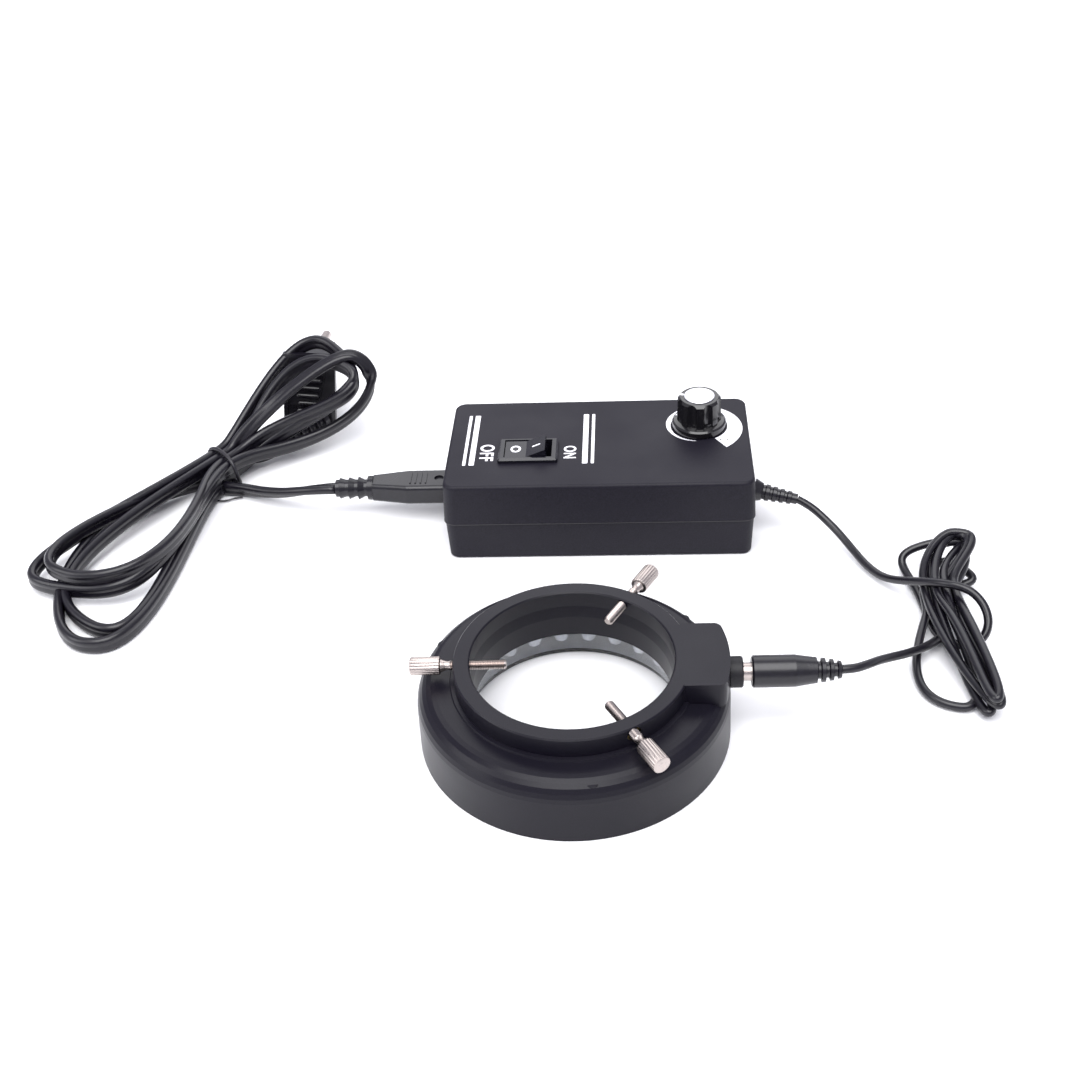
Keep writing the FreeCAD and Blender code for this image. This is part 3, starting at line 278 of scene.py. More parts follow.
route = [Vector(place) for place in from_connector]
lean = [LYING * (1 - index / (len(route) - 1)) for index in range(len(route))]
for index, (side, tip, heading, swing, run, fan, climb) in enumerate(LOBES, 1):
    turn = lobe(slot_at(index, side), slot_at(index + 1, side), ALONG * side, tip, heading, swing,
                run, fan, climb, CORD_WIDE / 2 + ABOVE_FLOOR)
    route += turn
    lean += [LYING * max(0, min(1, step / 4, (len(turn) - 1 - step) / 10))
             if index == FLAT_LOBE else STANDING for step in range(len(turn))]
route += [Vector(place) for place in to_plug]
lean += [LYING] * len(to_plug)
mains_line = smooth_line("mains_line", [place * MM for place in route], fineness=5)
mains_path = places_along(mains_line)
bpy.data.objects.remove(mains_line)


# %% A skin over a line
def two_core_section(wide, thin, steps=9):
    """The outline of a flat two-core cord: two round cores that meet in a groove."""
    core = thin / 2
    offset = wide / 2 - core
    meet = math.degrees(math.acos(-offset / core)) - 6
    outline = []
    for side in (1, -1):
        for step in range(steps):
            angle = math.radians(-meet + 2 * meet * step / (steps - 1))
            out, up = offset + core * math.cos(angle), core * math.sin(angle)
            outline.append((side * out, side * up))
    return outline


def join_rings(mesh, rings):
    """Four-sided faces between each ring of corners and the next."""
    for one, two in zip(rings, rings[1:]):
        for corner in range(len(one)):
            following = (corner + 1) % len(one)
            mesh.faces.new((one[corner], one[following], two[following], two[corner]))


def close_ends(mesh, rings):
    """A face over the first ring and one over the last, with every face made to look outward."""
    mesh.faces.new(rings[0][::-1])
    mesh.faces.new(rings[-1])
    bmesh.ops.recalc_face_normals(mesh, faces=mesh.faces)


def show_mesh(name, mesh):
    """The finished mesh as an object."""
    data = bpy.data.meshes.new(name)
    mesh.to_mesh(data)
    mesh.free()
    return show(name, data)


def skin(name, path, section, leans):
    """A tube: the section stands at each place of the path, leaning by its number of degrees."""
    mesh = bmesh.new()
    rings = []
    for index, place in enumerate(path):
        ahead = (path[min(index + 1, len(path) - 1)] - path[max(index - 1, 0)]).normalized()
        side = Vector((0, 0, 1)).cross(ahead).normalized()
        upward = ahead.cross(side)
        spot = index / (len(path) - 1) * (len(leans) - 1)
        before = min(int(spot), len(leans) - 2)
        angle = math.radians(leans[before] + (leans[before + 1] - leans[before]) * (spot - before))
        wide = upward * math.cos(angle) + side * math.sin(angle)
        thin = ahead.cross(wide)
        rings.append([mesh.verts.new(place + wide * a * MM + thin * b * MM) for a, b in section])
    join_rings(mesh, rings)
    close_ends(mesh, rings)
    for face in mesh.faces:
        face.smooth = len(face.verts) == 4
    return show_mesh(name, mesh)


# %% Mains lead: skinned and attached
mains_lead = skin("mains_lead_cord", mains_path, two_core_section(CORD_WIDE, CORD_THIN), lean)
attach(mains_lead, "mains_lead")
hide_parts("mains_cord_to_connector", "mains_hank", "mains_cord_to_plug")
print("skin:", len(mains_lead.data.polygons), "faces")

# %% [markdown]
# ## The twist tie
#
# A thin wire in a plastic coat holds the hank at its waist. On the real one its two ends are
# twisted together. The twist doesn't show, so here the wire is a loop that overlaps itself, and
# the end that is left sticking out beside the cord is a second, thinner line.

# %% Twist tie
TIE_RADIUS = 0.75
tie_across = [(-8.6, 6.0), (-8.2, 11.2), (-4.5, 13.1), (1.0, 13.5), (6.2, 13.0), (9.4, 10.2),
              (9.8, 5.6), (9.0, 1.8), (5.0, 0.9), (-4.0, 0.9), (-8.0, 1.6), (-9.0, 5.0),
              (-8.7, 9.5)]
tie_route = []
for index, (across, height) in enumerate(tie_across):
    drift = ALONG * (1.6 * math.sin(index * 0.9))
    tie_route.append((WAIST + ACROSS * across + drift + Vector((0, 0, height))) * MM)
tie = smooth_line("tie_wire", tie_route, TIE_RADIUS * MM)
tail_route = [(-147.6, 76.4, 0.7), (-145.4, 75.4, 0.6), (-142.3, 75.8, 0.7), (-139.4, 77.2, 0.9),
              (-136.9, 77.8, 0.8)]
tail = smooth_line("tie_tail", [mm(*place) for place in tail_route], 0.32 * MM)
for piece in (tie, tail):
    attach(piece, "mains_lead")
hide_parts("twist_tie")
print("tie: a loop and a tail")

# %% [markdown]
# ## Helpers for finishes
#
# Colours are written as the eye names them, in sRGB hex, while Blender's shaders count light in
# linear values, so one function turns one into the other. A second function adds a node to a
# material with its settings and its inputs, whether an input is a plain value or a link.

# %% Colour and node helpers
def linear(colour):
    """An sRGB hex colour as the linear RGBA that shaders use."""
    shares = [int(colour[start:start + 2], 16) / 255 for start in (1, 3, 5)]
    return (*[s / 12.92 if s <= 0.04045 else ((s + 0.055) / 1.055) ** 2.4 for s in shares], 1.0)


def add(tree, kind, inputs=None, **settings):
    """One new node. An input that is another node's socket is linked, and any other is set."""
    made = tree.nodes.new(kind)
    for name, value in settings.items():
        setattr(made, name, value)
    for name, value in (inputs or {}).items():
        if isinstance(value, bpy.types.NodeSocket):
            tree.links.new(value, made.inputs[name])
        else:
            made.inputs[name].default_value = value
    return made


def start_material(name, **inputs):
    """A material with one Principled shader. Underscores in an input's name stand for spaces."""
    material = bpy.data.materials.new(name)
    material.use_nodes = True
    shader = material.node_tree.nodes["Principled BSDF"]
    for label, value in inputs.items():
        shader.inputs[label.replace("_", " ")].default_value = value
    return material, material.node_tree, shader


def per_metre(size_in_mm):
    """The texture scale that makes one feature about this many millimetres across."""
    return 1000.0 / size_in_mm


FINISHES = {}

# %% [markdown]
# ## Black plastics
#
# Nothing black is only black: what shows is the sheen. Four kinds show most. The dimmer box is ABS
# from a spark-eroded mould, whose fine pits spread every highlight into a dusty grey. The lamp
# ring is ABS from a smoother mould, so its edges carry soft long highlights. The knob is polished
# phenolic and the rocker polished nylon, both glossy.
#
# The grain of the mould is noise in the colour and in a bump. A slower noise moves the gloss, as
# handling does.

# %% A moulded black plastic
HANDLED_MM = 24


def black_plastic(name, colour, roughness, grain_mm, depth_mm, specular=0.5, coat=0.0):
    """Moulded plastic with a grain of the given size, and slow changes of gloss from handling."""
    material, tree, shader = start_material(name, IOR=1.5, Specular_IOR_Level=specular,
                                            Coat_Weight=coat, Coat_Roughness=0.12)
    place = add(tree, "ShaderNodeTexCoord").outputs["Object"]
    grain = add(tree, "ShaderNodeTexNoise", {"Vector": place, "Scale": per_metre(grain_mm),
                                            "Detail": 3.0, "Roughness": 0.6})
    handled = add(tree, "ShaderNodeTexNoise", {"Vector": place, "Scale": per_metre(HANDLED_MM),
                                              "Detail": 2.0})
    tone = add(tree, "ShaderNodeValToRGB", {"Fac": grain.outputs["Fac"]})
    base = linear(colour)
    for stop, factor, spot in zip(tone.color_ramp.elements, (0.72, 1.34), (0.32, 0.68)):
        stop.color = (*[channel * factor for channel in base[:3]], 1.0)
        stop.position = spot
    tree.links.new(tone.outputs["Color"], shader.inputs["Base Color"])
    gloss = add(tree, "ShaderNodeMapRange", {"Value": handled.outputs["Fac"], "From Min": 0.3,
                                            "From Max": 0.7, "To Min": roughness - 0.05,
                                            "To Max": roughness + 0.05})
    tree.links.new(gloss.outputs["Result"], shader.inputs["Roughness"])
    pits = add(tree, "ShaderNodeBump", {"Height": grain.outputs["Fac"], "Distance": depth_mm * MM,
                                       "Strength": 0.6})
    tree.links.new(pits.outputs["Normal"], shader.inputs["Normal"])
    return material


# The pits of a spark-eroded mould are about 0.1 mm; they are drawn at 0.45 mm so that they show.
FINISHES["box_plastic"] = black_plastic("abs_spark_textured", "#16141e", 0.52, 0.45, 0.06, 0.24)
# The ring's mould was stoned finer, so its grain is nearly lost and its highlights are longer.
FINISHES["ring_plastic"] = black_plastic("abs_satin_moulded", "#0f0d17", 0.36, 0.3, 0.012, 0.25)
FINISHES["socket_plastic"] = black_plastic("nylon_glass_filled", "#131217", 0.5, 0.4, 0.02, 0.35)
FINISHES["switch_plastic"] = black_plastic("nylon_polished", "#14131b", 0.24, 0.6, 0.003, 0.4)
FINISHES["knob_phenolic"] = black_plastic("phenolic_polished", "#0e0d10", 0.2, 0.8, 0.003, 0.5,
                                          0.25)
FINISHES["chip_ceramic"] = black_plastic("epoxy_moulded", "#202022", 0.55, 0.35, 0.02)
FINISHES["tie_plastic"] = black_plastic("tie_pvc_coat", "#1b1920", 0.4, 0.5, 0.02)
FINISHES["can_sleeve"] = black_plastic("heat_shrunk_pet_sleeve", "#262c44", 0.3, 0.8, 0.004)
FINISHES["ferrite"] = black_plastic("ferrite_sintered", "#3b3836", 0.6, 0.3, 0.03)
print(len(FINISHES), "black finishes")

# %% [markdown]
# ## Cord jacket
#
# The jackets are soft PVC, drawn hot through a die. It leaves a half-gloss skin with faint dull
# patches where the cord has been handled, and a very shallow orange-peel.

# %% PVC cord jacket
FINISHES["cord_pvc"] = black_plastic("pvc_cord_jacket", "#100e16", 0.3, 1.4, 0.02, 0.5)
FINISHES["wire_pvc"] = black_plastic("pvc_hook_up_wire", "#8f1d1c", 0.4, 1.2, 0.01)
print("jackets done")

# %% [markdown]
# ## Metals
#
# A metal's colour is the colour of its reflection, and its IOR stays at the default. What tells
# them apart is the direction of their fine scratches. The thumbscrews are bright nickel over
# brass, slightly warm. The knob's cap is aluminium faced on a lathe: its grain runs in circles
# about the knob's axis, so we feed the distance from that axis to a noise that changes quickly
# across the grain and not at all along it.

# %% Plain metals
def plated_metal(name, colour, roughness, grain_mm):
    """A metal with faint blotches in its gloss and a fine bump, as plating or milling leaves."""
    material, tree, shader = start_material(name, Base_Color=linear(colour), Metallic=1.0)
    place = add(tree, "ShaderNodeTexCoord").outputs["Object"]
    grain = add(tree, "ShaderNodeTexNoise", {"Vector": place, "Scale": per_metre(grain_mm),
                                            "Detail": 4.0})
    gloss = add(tree, "ShaderNodeMapRange", {"Value": grain.outputs["Fac"], "From Min": 0.3,
                                            "From Max": 0.7, "To Min": roughness * 0.85,
                                            "To Max": roughness * 1.15})
    tree.links.new(gloss.outputs["Result"], shader.inputs["Roughness"])
    wear = add(tree, "ShaderNodeBump", {"Height": grain.outputs["Fac"], "Distance": 0.01 * MM,
                                       "Strength": 0.4})
    tree.links.new(wear.outputs["Normal"], shader.inputs["Normal"])
    return material


FINISHES["nickel"] = plated_metal("nickel_bright_plate", "#bab0ab", 0.3, 0.7)
FINISHES["screw_steel"] = plated_metal("zinc_plated_steel", "#b9b9bf", 0.35, 0.5)
FINISHES["contact_brass"] = plated_metal("tinned_brass", "#c9ae74", 0.3, 0.6)
FINISHES["heatsink_aluminium"] = plated_metal("aluminium_mill_finish", "#c6c7ca", 0.4, 0.4)

# %% Turned aluminium
knob_low, knob_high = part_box("knob")
knob_axis = (knob_low + knob_high) / 2
turned, tree, shader = start_material("aluminium_turned_face", Base_Color=linear("#e9e9ee"),
                                      Metallic=1.0)
place = add(tree, "ShaderNodeTexCoord").outputs["Object"]
to_axis = (-knob_axis.x, -knob_axis.y, -knob_high.z)
centred = add(tree, "ShaderNodeVectorMath", {0: place, 1: to_axis}, operation="ADD")
radius = add(tree, "ShaderNodeVectorMath", {0: centred.outputs["Vector"]}, operation="LENGTH")
# The tool marks are about 0.05 mm apart; they are drawn 0.25 mm apart so that they show.
rings = add(tree, "ShaderNodeTexNoise", {"W": radius.outputs["Value"], "Scale": per_metre(0.25),
                                        "Detail": 3.0}, noise_dimensions="1D")
gloss = add(tree, "ShaderNodeMapRange", {"Value": rings.outputs["Fac"], "To Min": 0.18,
                                        "To Max": 0.5})
tree.links.new(gloss.outputs["Result"], shader.inputs["Roughness"])
marks = add(tree, "ShaderNodeBump", {"Height": rings.outputs["Fac"], "Distance": 0.02 * MM,
                                    "Strength": 0.5})
tree.links.new(marks.outputs["Normal"], shader.inputs["Normal"])
FINISHES["spun_aluminium"] = turned
print("metals:", [FINISHES[key].name for key in ("nickel", "screw_steel", "spun_aluminium")])

# %% [markdown]
# ## Clear and pale finishes
#
# The ring's lower cover is clear acrylic, which shows as a pale rim with the lamps behind it. The
# lamps themselves are epoxy, cloudy at the tip, so light goes into them a little way and comes
# back: subsurface scattering. The printing is a thick white ink with worn, slightly uneven cover.

# %% Acrylic, epoxy, board and ink
acrylic, tree, shader = start_material("acrylic_clear_moulded", Base_Color=linear("#eef1f6"), IOR=1.49,
                                       Transmission_Weight=1.0)
place = add(tree, "ShaderNodeTexCoord").outputs["Object"]
haze = add(tree, "ShaderNodeTexNoise", {"Vector": place, "Scale": per_metre(9), "Detail": 3.0})
gloss = add(tree, "ShaderNodeMapRange", {"Value": haze.outputs["Fac"], "To Min": 0.02,
                                        "To Max": 0.1})
tree.links.new(gloss.outputs["Result"], shader.inputs["Roughness"])
FINISHES["clear_plastic"] = acrylic

lens, tree, shader = start_material("led_epoxy_lens", IOR=1.53, Subsurface_Weight=0.5,
                                    Subsurface_Scale=0.002)
shader.inputs["Subsurface Radius"].default_value = (1.0, 1.0, 0.9)
place = add(tree, "ShaderNodeTexCoord").outputs["Object"]
cloud = add(tree, "ShaderNodeTexNoise", {"Vector": place, "Scale": per_metre(2.5), "Detail": 2.0})
shade = add(tree, "ShaderNodeValToRGB", {"Fac": cloud.outputs["Fac"]})
shade.color_ramp.elements[0].color = linear("#f0f1f8")
shade.color_ramp.elements[1].color = linear("#ffffff")
tree.links.new(shade.outputs["Color"], shader.inputs["Base Color"])
gloss = add(tree, "ShaderNodeMapRange", {"Value": cloud.outputs["Fac"], "To Min": 0.08,
                                        "To Max": 0.2})
tree.links.new(gloss.outputs["Result"], shader.inputs["Roughness"])
FINISHES["led_epoxy"] = lens


def two_tone(name, dark, light, size_mm, roughness, stretch=(1, 1, 1)):
    """A surface that wanders between two close colours, with its gloss following."""
    material, tree, shader = start_material(name, IOR=1.5)
    place = add(tree, "ShaderNodeTexCoord").outputs["Object"]
    spread = add(tree, "ShaderNodeMapping", {"Vector": place, "Scale": stretch})
    wander = add(tree, "ShaderNodeTexNoise", {"Vector": spread.outputs["Vector"],
                                             "Scale": per_metre(size_mm), "Detail": 4.0})
    tone = add(tree, "ShaderNodeValToRGB", {"Fac": wander.outputs["Fac"]})
    tone.color_ramp.elements[0].color = linear(dark)
    tone.color_ramp.elements[1].color = linear(light)
    tone.color_ramp.elements[0].position = 0.35
    tone.color_ramp.elements[1].position = 0.65
    tree.links.new(tone.outputs["Color"], shader.inputs["Base Color"])
    gloss = add(tree, "ShaderNodeMapRange", {"Value": wander.outputs["Fac"],
                                            "To Min": roughness - 0.1,
                                            "To Max": roughness + 0.1})
    tree.links.new(gloss.outputs["Result"], shader.inputs["Roughness"])
    return material


FINISHES["board"] = two_tone("solder_mask_green", "#0f4a24", "#1a6636", 1.2, 0.3)
FINISHES["print_white"] = two_tone("pad_print_white_ink", "#ecebf2", "#fbfbff", 0.5, 0.45)
black_ink = two_tone("pad_print_black_ink", "#17161a", "#242228", 0.5, 0.5)
slots = {part["material_slot"] for part in frame["record"]["subparts"]}
print(len(FINISHES), "finishes for", len(slots), "slots")

# %% [markdown]
# ## Dressing the CAD pieces
#
# Every CAD piece names the finish it was meant to have, so a loop hands each one its material. The
# shape itself is left alone.

# %% Give every CAD piece its finish
for part in frame["record"]["subparts"]:
    piece = frame["nodes"][part["node"]]
    piece.data.materials.clear()
    piece.data.materials.append(FINISHES[part["material_slot"]])
print("dressed", len(frame["nodes"]), "CAD pieces")


# %% Give the new cords theirs
def dress(piece, slot_name):
    """The piece, given the finish of a slot."""
    piece.data.materials.clear()
    piece.data.materials.append(FINISHES[slot_name])
    return piece


for piece, slot_name in ((dc_lead, "cord_pvc"), (mains_lead, "cord_pvc"), (tie, "tie_plastic"),
                         (tail, "tie_plastic")):
    dress(piece, slot_name)
print("cords dressed")

# %% [markdown]
# ## Knurled thumbscrews
#
# Each screw is turned from brass rod: an M3 thread, a narrow neck, and a head with a straight
# knurl that the fingers grip. CAD carries the head as a plain drum. Here the head is an outline
# with 24 teeth, stretched along the screw with a small chamfer at each end, and the thread is the
# same idea turned on its side: rings of a larger and a smaller radius, half a millimetre apart,
# which is an M3 pitch.

# %% A mesh from rings
def lathe(name, stations, place, sides=72):
    """A skin over rings along X. A station has a distance and a radius, or a rule by the angle."""
    mesh = bmesh.new()
    rings = []
    for distance, radius in stations:
        ring = []
        for step in range(sides):
            angle = 2 * math.pi * step / sides
            size = radius(angle) if callable(radius) else radius
            corner = mm(distance, size * math.cos(angle), size * math.sin(angle))
            ring.append(mesh.verts.new(place @ corner))
        rings.append(ring)
    join_rings(mesh, rings)
    close_ends(mesh, rings)
    for face in mesh.faces:
        face.smooth = len(face.verts) == 4
    made = show_mesh(name, mesh)
    made.data.set_sharp_from_angle(angle=math.radians(40))
    return made


# %% Three thumbscrews
SCREW_RADIUS = 1.5
SCREW_LENGTH = 19.7
HEAD_RADIUS = 2.75
HEAD_LENGTH = 9.4
THREAD_PITCH = 0.5
THREAD_DEPTH = 0.24
TEETH = 24
TOOTH_DEPTH = 0.22
RING_MIDDLE = mm(-6.05, -47.5, 25.0)
SCREWS = {"left": (180, 19.5), "rear": (60, 21.6), "front": (-60, 21.0)}


def knurl(shrink):
    """The radius of the head at an angle: a row of teeth, drawn in by an amount at the chamfers."""
    def size(angle):
        tooth = abs((angle * TEETH / (2 * math.pi)) % 1 - 0.5) * 2
        return HEAD_RADIUS - shrink - TOOTH_DEPTH * (1 - min(1.0, tooth * 1.6))
    return size


for screw, (degrees, tip) in SCREWS.items():
    spoke = Matrix.Rotation(math.radians(degrees + 1.2), 4, "Z")
    place = Matrix.Translation(RING_MIDDLE) @ spoke @ Matrix.Translation(mm(tip, 0, 0))
    stations = [(0.0, SCREW_RADIUS - 0.5), (0.3, SCREW_RADIUS - THREAD_DEPTH)]
    turns = int((SCREW_LENGTH - 3.0) / THREAD_PITCH)
    for turn in range(turns):
        along = 0.45 + turn * THREAD_PITCH
        stations += [(along, SCREW_RADIUS - THREAD_DEPTH), (along + THREAD_PITCH / 2, SCREW_RADIUS)]
    end = SCREW_LENGTH + HEAD_LENGTH
    stations += [(SCREW_LENGTH - 2.2, SCREW_RADIUS - THREAD_DEPTH), (SCREW_LENGTH - 1.2, SCREW_RADIUS),
                 (SCREW_LENGTH - 0.4, SCREW_RADIUS + 0.35), (SCREW_LENGTH, SCREW_RADIUS + 0.45),
                 (SCREW_LENGTH, HEAD_RADIUS - 0.7), (SCREW_LENGTH + 0.35, knurl(0.05)),
                 (SCREW_LENGTH + 0.5, knurl(0)), (end - 0.5, knurl(0)), (end - 0.35, knurl(0.05)),
                 (end, HEAD_RADIUS - 0.75), (end, HEAD_RADIUS - 1.1), (end - 0.12, HEAD_RADIUS - 1.3)]
    made = dress(lathe(f"knurled_screw_{screw}", stations, place), "nickel")
    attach(made, f"thumbscrew_{screw}")
    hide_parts(f"thumbscrew_{screw}")
    print(made.name, len(stations), "rings")

# %% [markdown]
# ## Printing on the box
#
# The panel is pad printed: pairs of bars, a thick one beside a thin one, set off the switch, and
# OFF and ON say which way it goes. Ink stands about 0.05 mm proud, so each mark is a thin plate
# with rounded corners. Words come from Blender's own font, turned to a mesh so that they can be
# scaled to the exact height and length of the print.

# %% Printed plates
panel_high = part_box("top_shell")[1].z / MM
BOX_MIDDLE = Vector((0.45, 66.1, 0))
INK = 0.05
INK_FOOT = 0.005


def plate(name, outline, place, thickness=INK):
    """A thin plate on an outline in millimetres, lifted by its own thickness along the place's Z."""
    mesh = bmesh.new()
    low = [mesh.verts.new(place @ mm(x, y, INK_FOOT)) for x, y in outline]
    high = [mesh.verts.new(place @ mm(x, y, thickness)) for x, y in outline]
    mesh.faces.new(high)
    mesh.faces.new(low[::-1])
    join_rings(mesh, [low, high])
    return show_mesh(name, mesh)


def rounded(width, depth, radius, x=0.0, y=0.0):
    """The outline of a rectangle with rounded corners, about a middle."""
    outline = []
    for quarter, (a, b) in enumerate(((1, 1), (-1, 1), (-1, -1), (1, -1))):
        for step in range(9):
            angle = math.radians(90 * quarter + 11.25 * step)
            outline.append((x + a * (width / 2 - radius) + radius * math.cos(angle),
                            y + b * (depth / 2 - radius) + radius * math.sin(angle)))
    return outline


panel = Matrix.Translation(mm(BOX_MIDDLE.x, BOX_MIDDLE.y, panel_high))
bars = {"thin_left": (-47.35, 1.1, -14.6, 18.75), "thick_left": (-44.7, 1.9, -14.6, 18.75),
        "thick_right": (-4.67, 1.9, -14.5, 18.4), "thin_right": (-2.0, 1.1, -14.5, 18.4)}
for name, (x, width, near, far) in bars.items():
    made = plate(f"print_{name}", rounded(width, far - near, 0.35, x, (near + far) / 2), panel)
    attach(dress(made, "print_white"), "control_box")
print("bars:", len(bars))


# %% Printed words
def word(name, letters, x0, x1, y0, y1):
    """Letters that read towards the front, filling a box on the panel in millimetres."""
    data = bpy.data.curves.new(name, "FONT")
    data.body = letters
    data.extrude = 0.02
    data.offset = 0.022
    data.space_character = 1.12
    written = show(name, data)
    bpy.context.view_layer.update()
    mesh = bpy.data.meshes.new_from_object(written)
    bpy.data.objects.remove(written)
    lows = [min(vertex.co[axis] for vertex in mesh.vertices) for axis in range(3)]
    highs = [max(vertex.co[axis] for vertex in mesh.vertices) for axis in range(3)]
    for vertex in mesh.vertices:
        share = [(vertex.co[axis] - lows[axis]) / (highs[axis] - lows[axis]) for axis in range(3)]
        vertex.co = panel @ mm(x0 + (x1 - x0) * share[1], y1 - (y1 - y0) * share[0],
                               INK_FOOT + INK * share[2])
    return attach(dress(show(name, mesh), "print_white"), "control_box")


word("print_off", "OFF", -42.2, -37.1, -11.9, -1.3)
word("print_on", "ON", -12.3, -7.8, -11.0, -3.0)

# %% [markdown]
# ## Marks on the rocker and the knob
#
# The rocker carries a ring for off on its pressed half and a bar for on on its raised half. They
# ride on the rocker, each on its own slope. The knob has a white line that starts on its rim and
# comes down on the skirt, which is how a finger finds the setting.

# %% Rocker marks
ROCKER_MIDDLE = Vector((-24.4, 59.35, 28.6))
RAISED_SLOPE = -22.4
OFF_OUTER, OFF_INNER, OFF_STRETCH = 1.85, 1.1, 1.15
pressed = Matrix.Translation((ROCKER_MIDDLE + Vector((-4.41, 0, 3.49))) * MM)
raised = (Matrix.Translation((ROCKER_MIDDLE + Vector((2.95, 0, 4.98))) * MM)
          @ Matrix.Rotation(math.radians(RAISED_SLOPE), 4, "Y"))
circle = [(math.cos(math.radians(angle)), math.sin(math.radians(angle)))
          for angle in range(0, 360, 10)]
mesh = bmesh.new()
join_rings(mesh, [
    [mesh.verts.new(pressed @ mm(size * x, size * y * OFF_STRETCH, height)) for x, y in circle]
    for size, height in ((OFF_OUTER, 0.0), (OFF_OUTER, INK), (OFF_INNER, INK), (OFF_INNER, 0.0))])
bmesh.ops.recalc_face_normals(mesh, faces=mesh.faces)
mark_off = show_mesh("mark_off", mesh)
mark_on = plate("mark_on", rounded(3.2, 0.75, 0.3), raised)
for made in (mark_off, mark_on):
    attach(dress(made, "print_white"), "rocker")

# %% Knob marks
RIM_TURN, SKIRT_TURN, SKIRT_SLOPE = 167, 160, 17
knob_spot = Matrix.Translation(Vector((knob_axis.x, knob_axis.y, panel_high * MM)))
rim = (knob_spot @ Matrix.Rotation(math.radians(RIM_TURN), 4, "Z")
       @ Matrix.Translation(mm(6.2, 0, 12.4)))
rim_mark = plate("mark_rim", rounded(1.2, 1.1, 0.15), rim)
skirt = (knob_spot @ Matrix.Rotation(math.radians(SKIRT_TURN), 4, "Z")
         @ Matrix.Translation(mm(8.35, 0, 3.17))
         @ Matrix.Rotation(math.radians(SKIRT_SLOPE), 4, "Y"))
skirt_mark = plate("mark_skirt", rounded(1.1, 1.0, 0.15), skirt)
for made in (rim_mark, skirt_mark):
    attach(dress(made, "print_white"), "knob")
DOT_RADIUS = 0.32
for index, (x, y) in enumerate(((9.66, -9.7), (7.29, -9.74))):
    dot = plate(f"dial_dot_{index}", [(DOT_RADIUS * a, DOT_RADIUS * b) for a, b in circle],
                knob_spot @ Matrix.Translation(mm(x, y, 0.12)))
    dot.data.materials.append(black_ink)
    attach(dot, "control_box")
print("marks on the rocker and the knob")

# %% [markdown]
# ## The joint round the box
#
# The two halves of the box meet in a fine gap, which the eye sees as a dark line. The shells come
# from CAD and stay as they are, so a dark band stands for the gap: a third of a millimetre high
# and 0.04 mm proud of the walls. Four loops of corners make it, the outer two on its face and the
# other two just inside the walls.

# %% Joint line
BOX_WIDE, BOX_DEEP, BOX_CORNER = 109, 58, 4
JOINT_LOW, JOINT_HIGH = 15.02, 15.38
PROUD, SUNK = 0.04, -0.1
mesh = bmesh.new()
join_rings(mesh, [
    [mesh.verts.new(mm(x, y, height))
     for x, y in rounded(BOX_WIDE + 2 * grow, BOX_DEEP + 2 * grow, BOX_CORNER + grow,
                         BOX_MIDDLE.x, BOX_MIDDLE.y)]
    for grow, height in ((SUNK, JOINT_LOW), (PROUD, JOINT_LOW), (PROUD, JOINT_HIGH),
                         (SUNK, JOINT_HIGH))])
joint_line = show_mesh("box_joint_line", mesh)
joint_line.data.materials.append(black_ink)
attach(joint_line, "control_box")
print("joint line:", len(joint_line.data.polygons), "faces")

# %% [markdown]
# ## Grip ribs on the mains plug
#
# The plug's back has an hourglass grip with ribs across it. They are rows of the moulding, so they
# share its material. Each rib is a bar with a round back, built as a skin over a short line.

# %% Plug ribs
PLUG_FOOT = (-119.0, 127.7, 0.15)
PLUG_HALF = 10.5
PLUG_PLATE = 3.0
PLUG_TURN, PLUG_LEAN, PLUG_ROLL = 0.5, -7.915, 5.8
RIBS = 6
LOWEST_RIB, RIB_STEP = 6.0, 3.3
GRIP_WAIST, GRIP_HALF, GRIP_FLARE = 12.5, 3.9, 2.2
plug_place = (Matrix.Translation(mm(*PLUG_FOOT))
              @ Matrix.Rotation(math.radians(PLUG_TURN), 4, "Z")
              @ Matrix.Rotation(math.radians(PLUG_LEAN), 4, "X")
              @ Matrix.Translation(mm(PLUG_HALF, -PLUG_PLATE, 0))
              @ Matrix.Rotation(math.radians(PLUG_ROLL), 4, "Y")
              @ Matrix.Translation(mm(-PLUG_HALF, 0, 0)))
half_round = [(0.0, -0.8), (0.5, -0.65), (0.85, -0.25), (0.85, 0.25), (0.5, 0.65), (0.0, 0.8)]
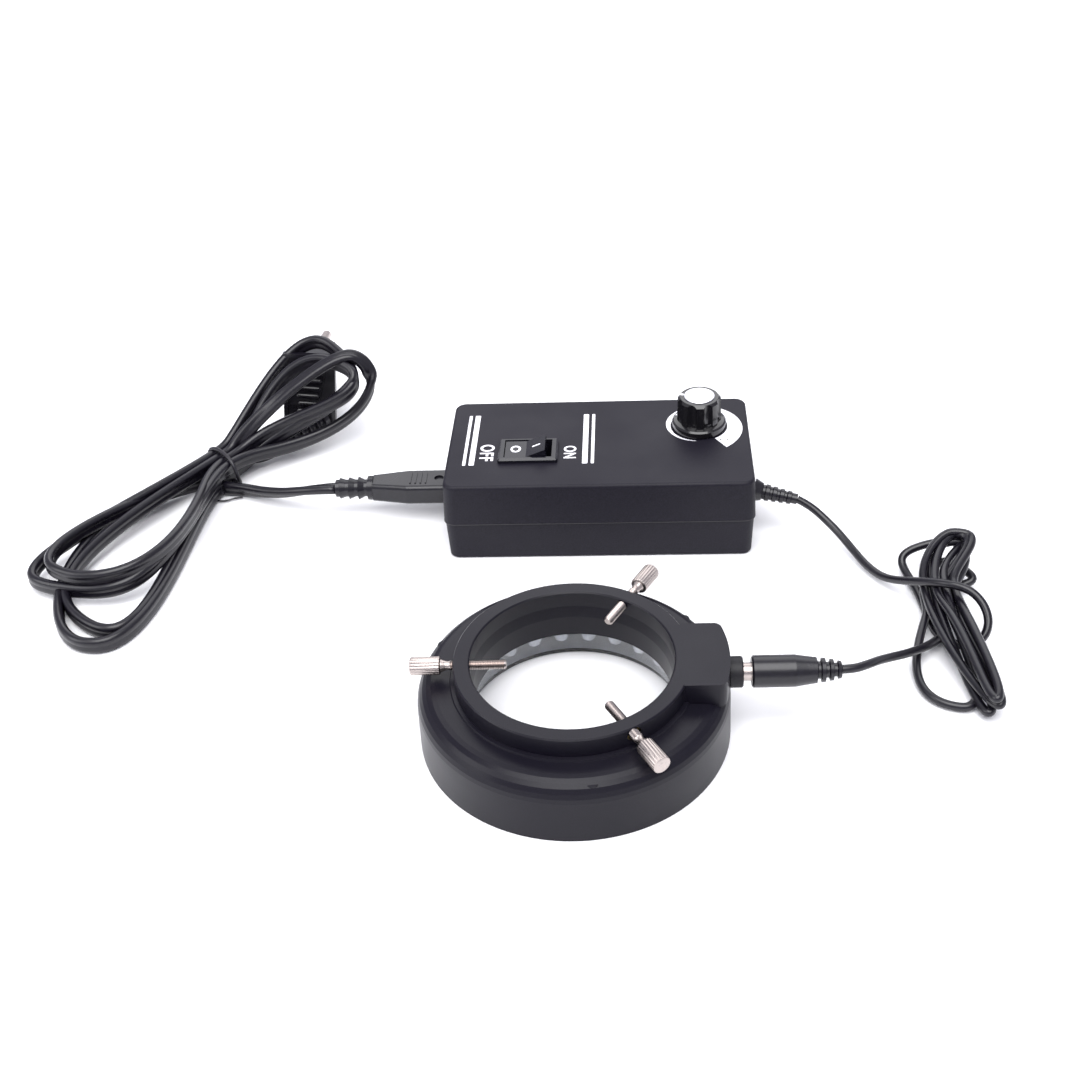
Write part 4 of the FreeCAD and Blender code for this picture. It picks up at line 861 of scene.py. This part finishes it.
for index in range(RIBS):
    height = LOWEST_RIB + RIB_STEP * index
    half = GRIP_HALF + GRIP_FLARE * abs(height - GRIP_WAIST) / GRIP_WAIST
    mesh = bmesh.new()
    ends = []
    for x, size in ((-half, 0.6), (-half + 0.5, 1.0), (half - 0.5, 1.0), (half, 0.6)):
        ends.append([mesh.verts.new(plug_place @ mm(x, -2.55 - size * out, height + size * rise))
                     for out, rise in half_round])
    join_rings(mesh, ends)
    close_ends(mesh, ends)
    rib = show_mesh(f"plug_rib_{index}", mesh)
    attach(dress(rib, "cord_pvc"), "mains_lead")
print("plug ribs:", RIBS)

# %% [markdown]
# ## Floor and light
#
# The object stands on a plain white sheet. Black plastic shows only what it reflects, so the light
# is made of large soft panels: one high at the back, whose reflection greys the top faces, a
# stronger one overhead and towards us that lights the sheet, and a dimmer one from the left. The
# world fills in the rest.

# %% Floor
floor_data = bpy.data.meshes.new("floor")
floor_data.from_pydata([(-6, -6, 0), (6, -6, 0), (6, 6, 0), (-6, 6, 0)], [], [(0, 1, 2, 3)])
floor = show("floor", floor_data)
floor.data.materials.append(two_tone("paper_white", "#f4f4f6", "#fbfbfc", 40, 0.75))
floor.location.z = -0.0001


# %% Lights
def panel_light(name, place, aim, size, power):
    data = bpy.data.lights.new(name, "AREA")
    data.shape = "RECTANGLE"
    data.size, data.size_y = size
    data.energy = power
    made = show(name, data)
    made.location = place
    made.rotation_euler = (Vector(aim) - Vector(place)).to_track_quat("-Z", "Y").to_euler()
    return made


panel_light("light_back", (0.1, 1.3, 1.1), (0, 0, 0), (1.8, 1.2), 12)
panel_light("light_top", (0, -0.5, 1.5), (0, 0, 0), (1.4, 1.4), 34)
panel_light("light_left", (-1.3, -0.4, 0.8), (0, 0, 0), (0.9, 0.9), 8)
world = bpy.data.worlds.new("studio")
world.use_nodes = True
world.node_tree.nodes["Background"].inputs["Color"].default_value = linear("#f1f1ff")
world.node_tree.nodes["Background"].inputs["Strength"].default_value = 0.6
bpy.context.scene.world = world
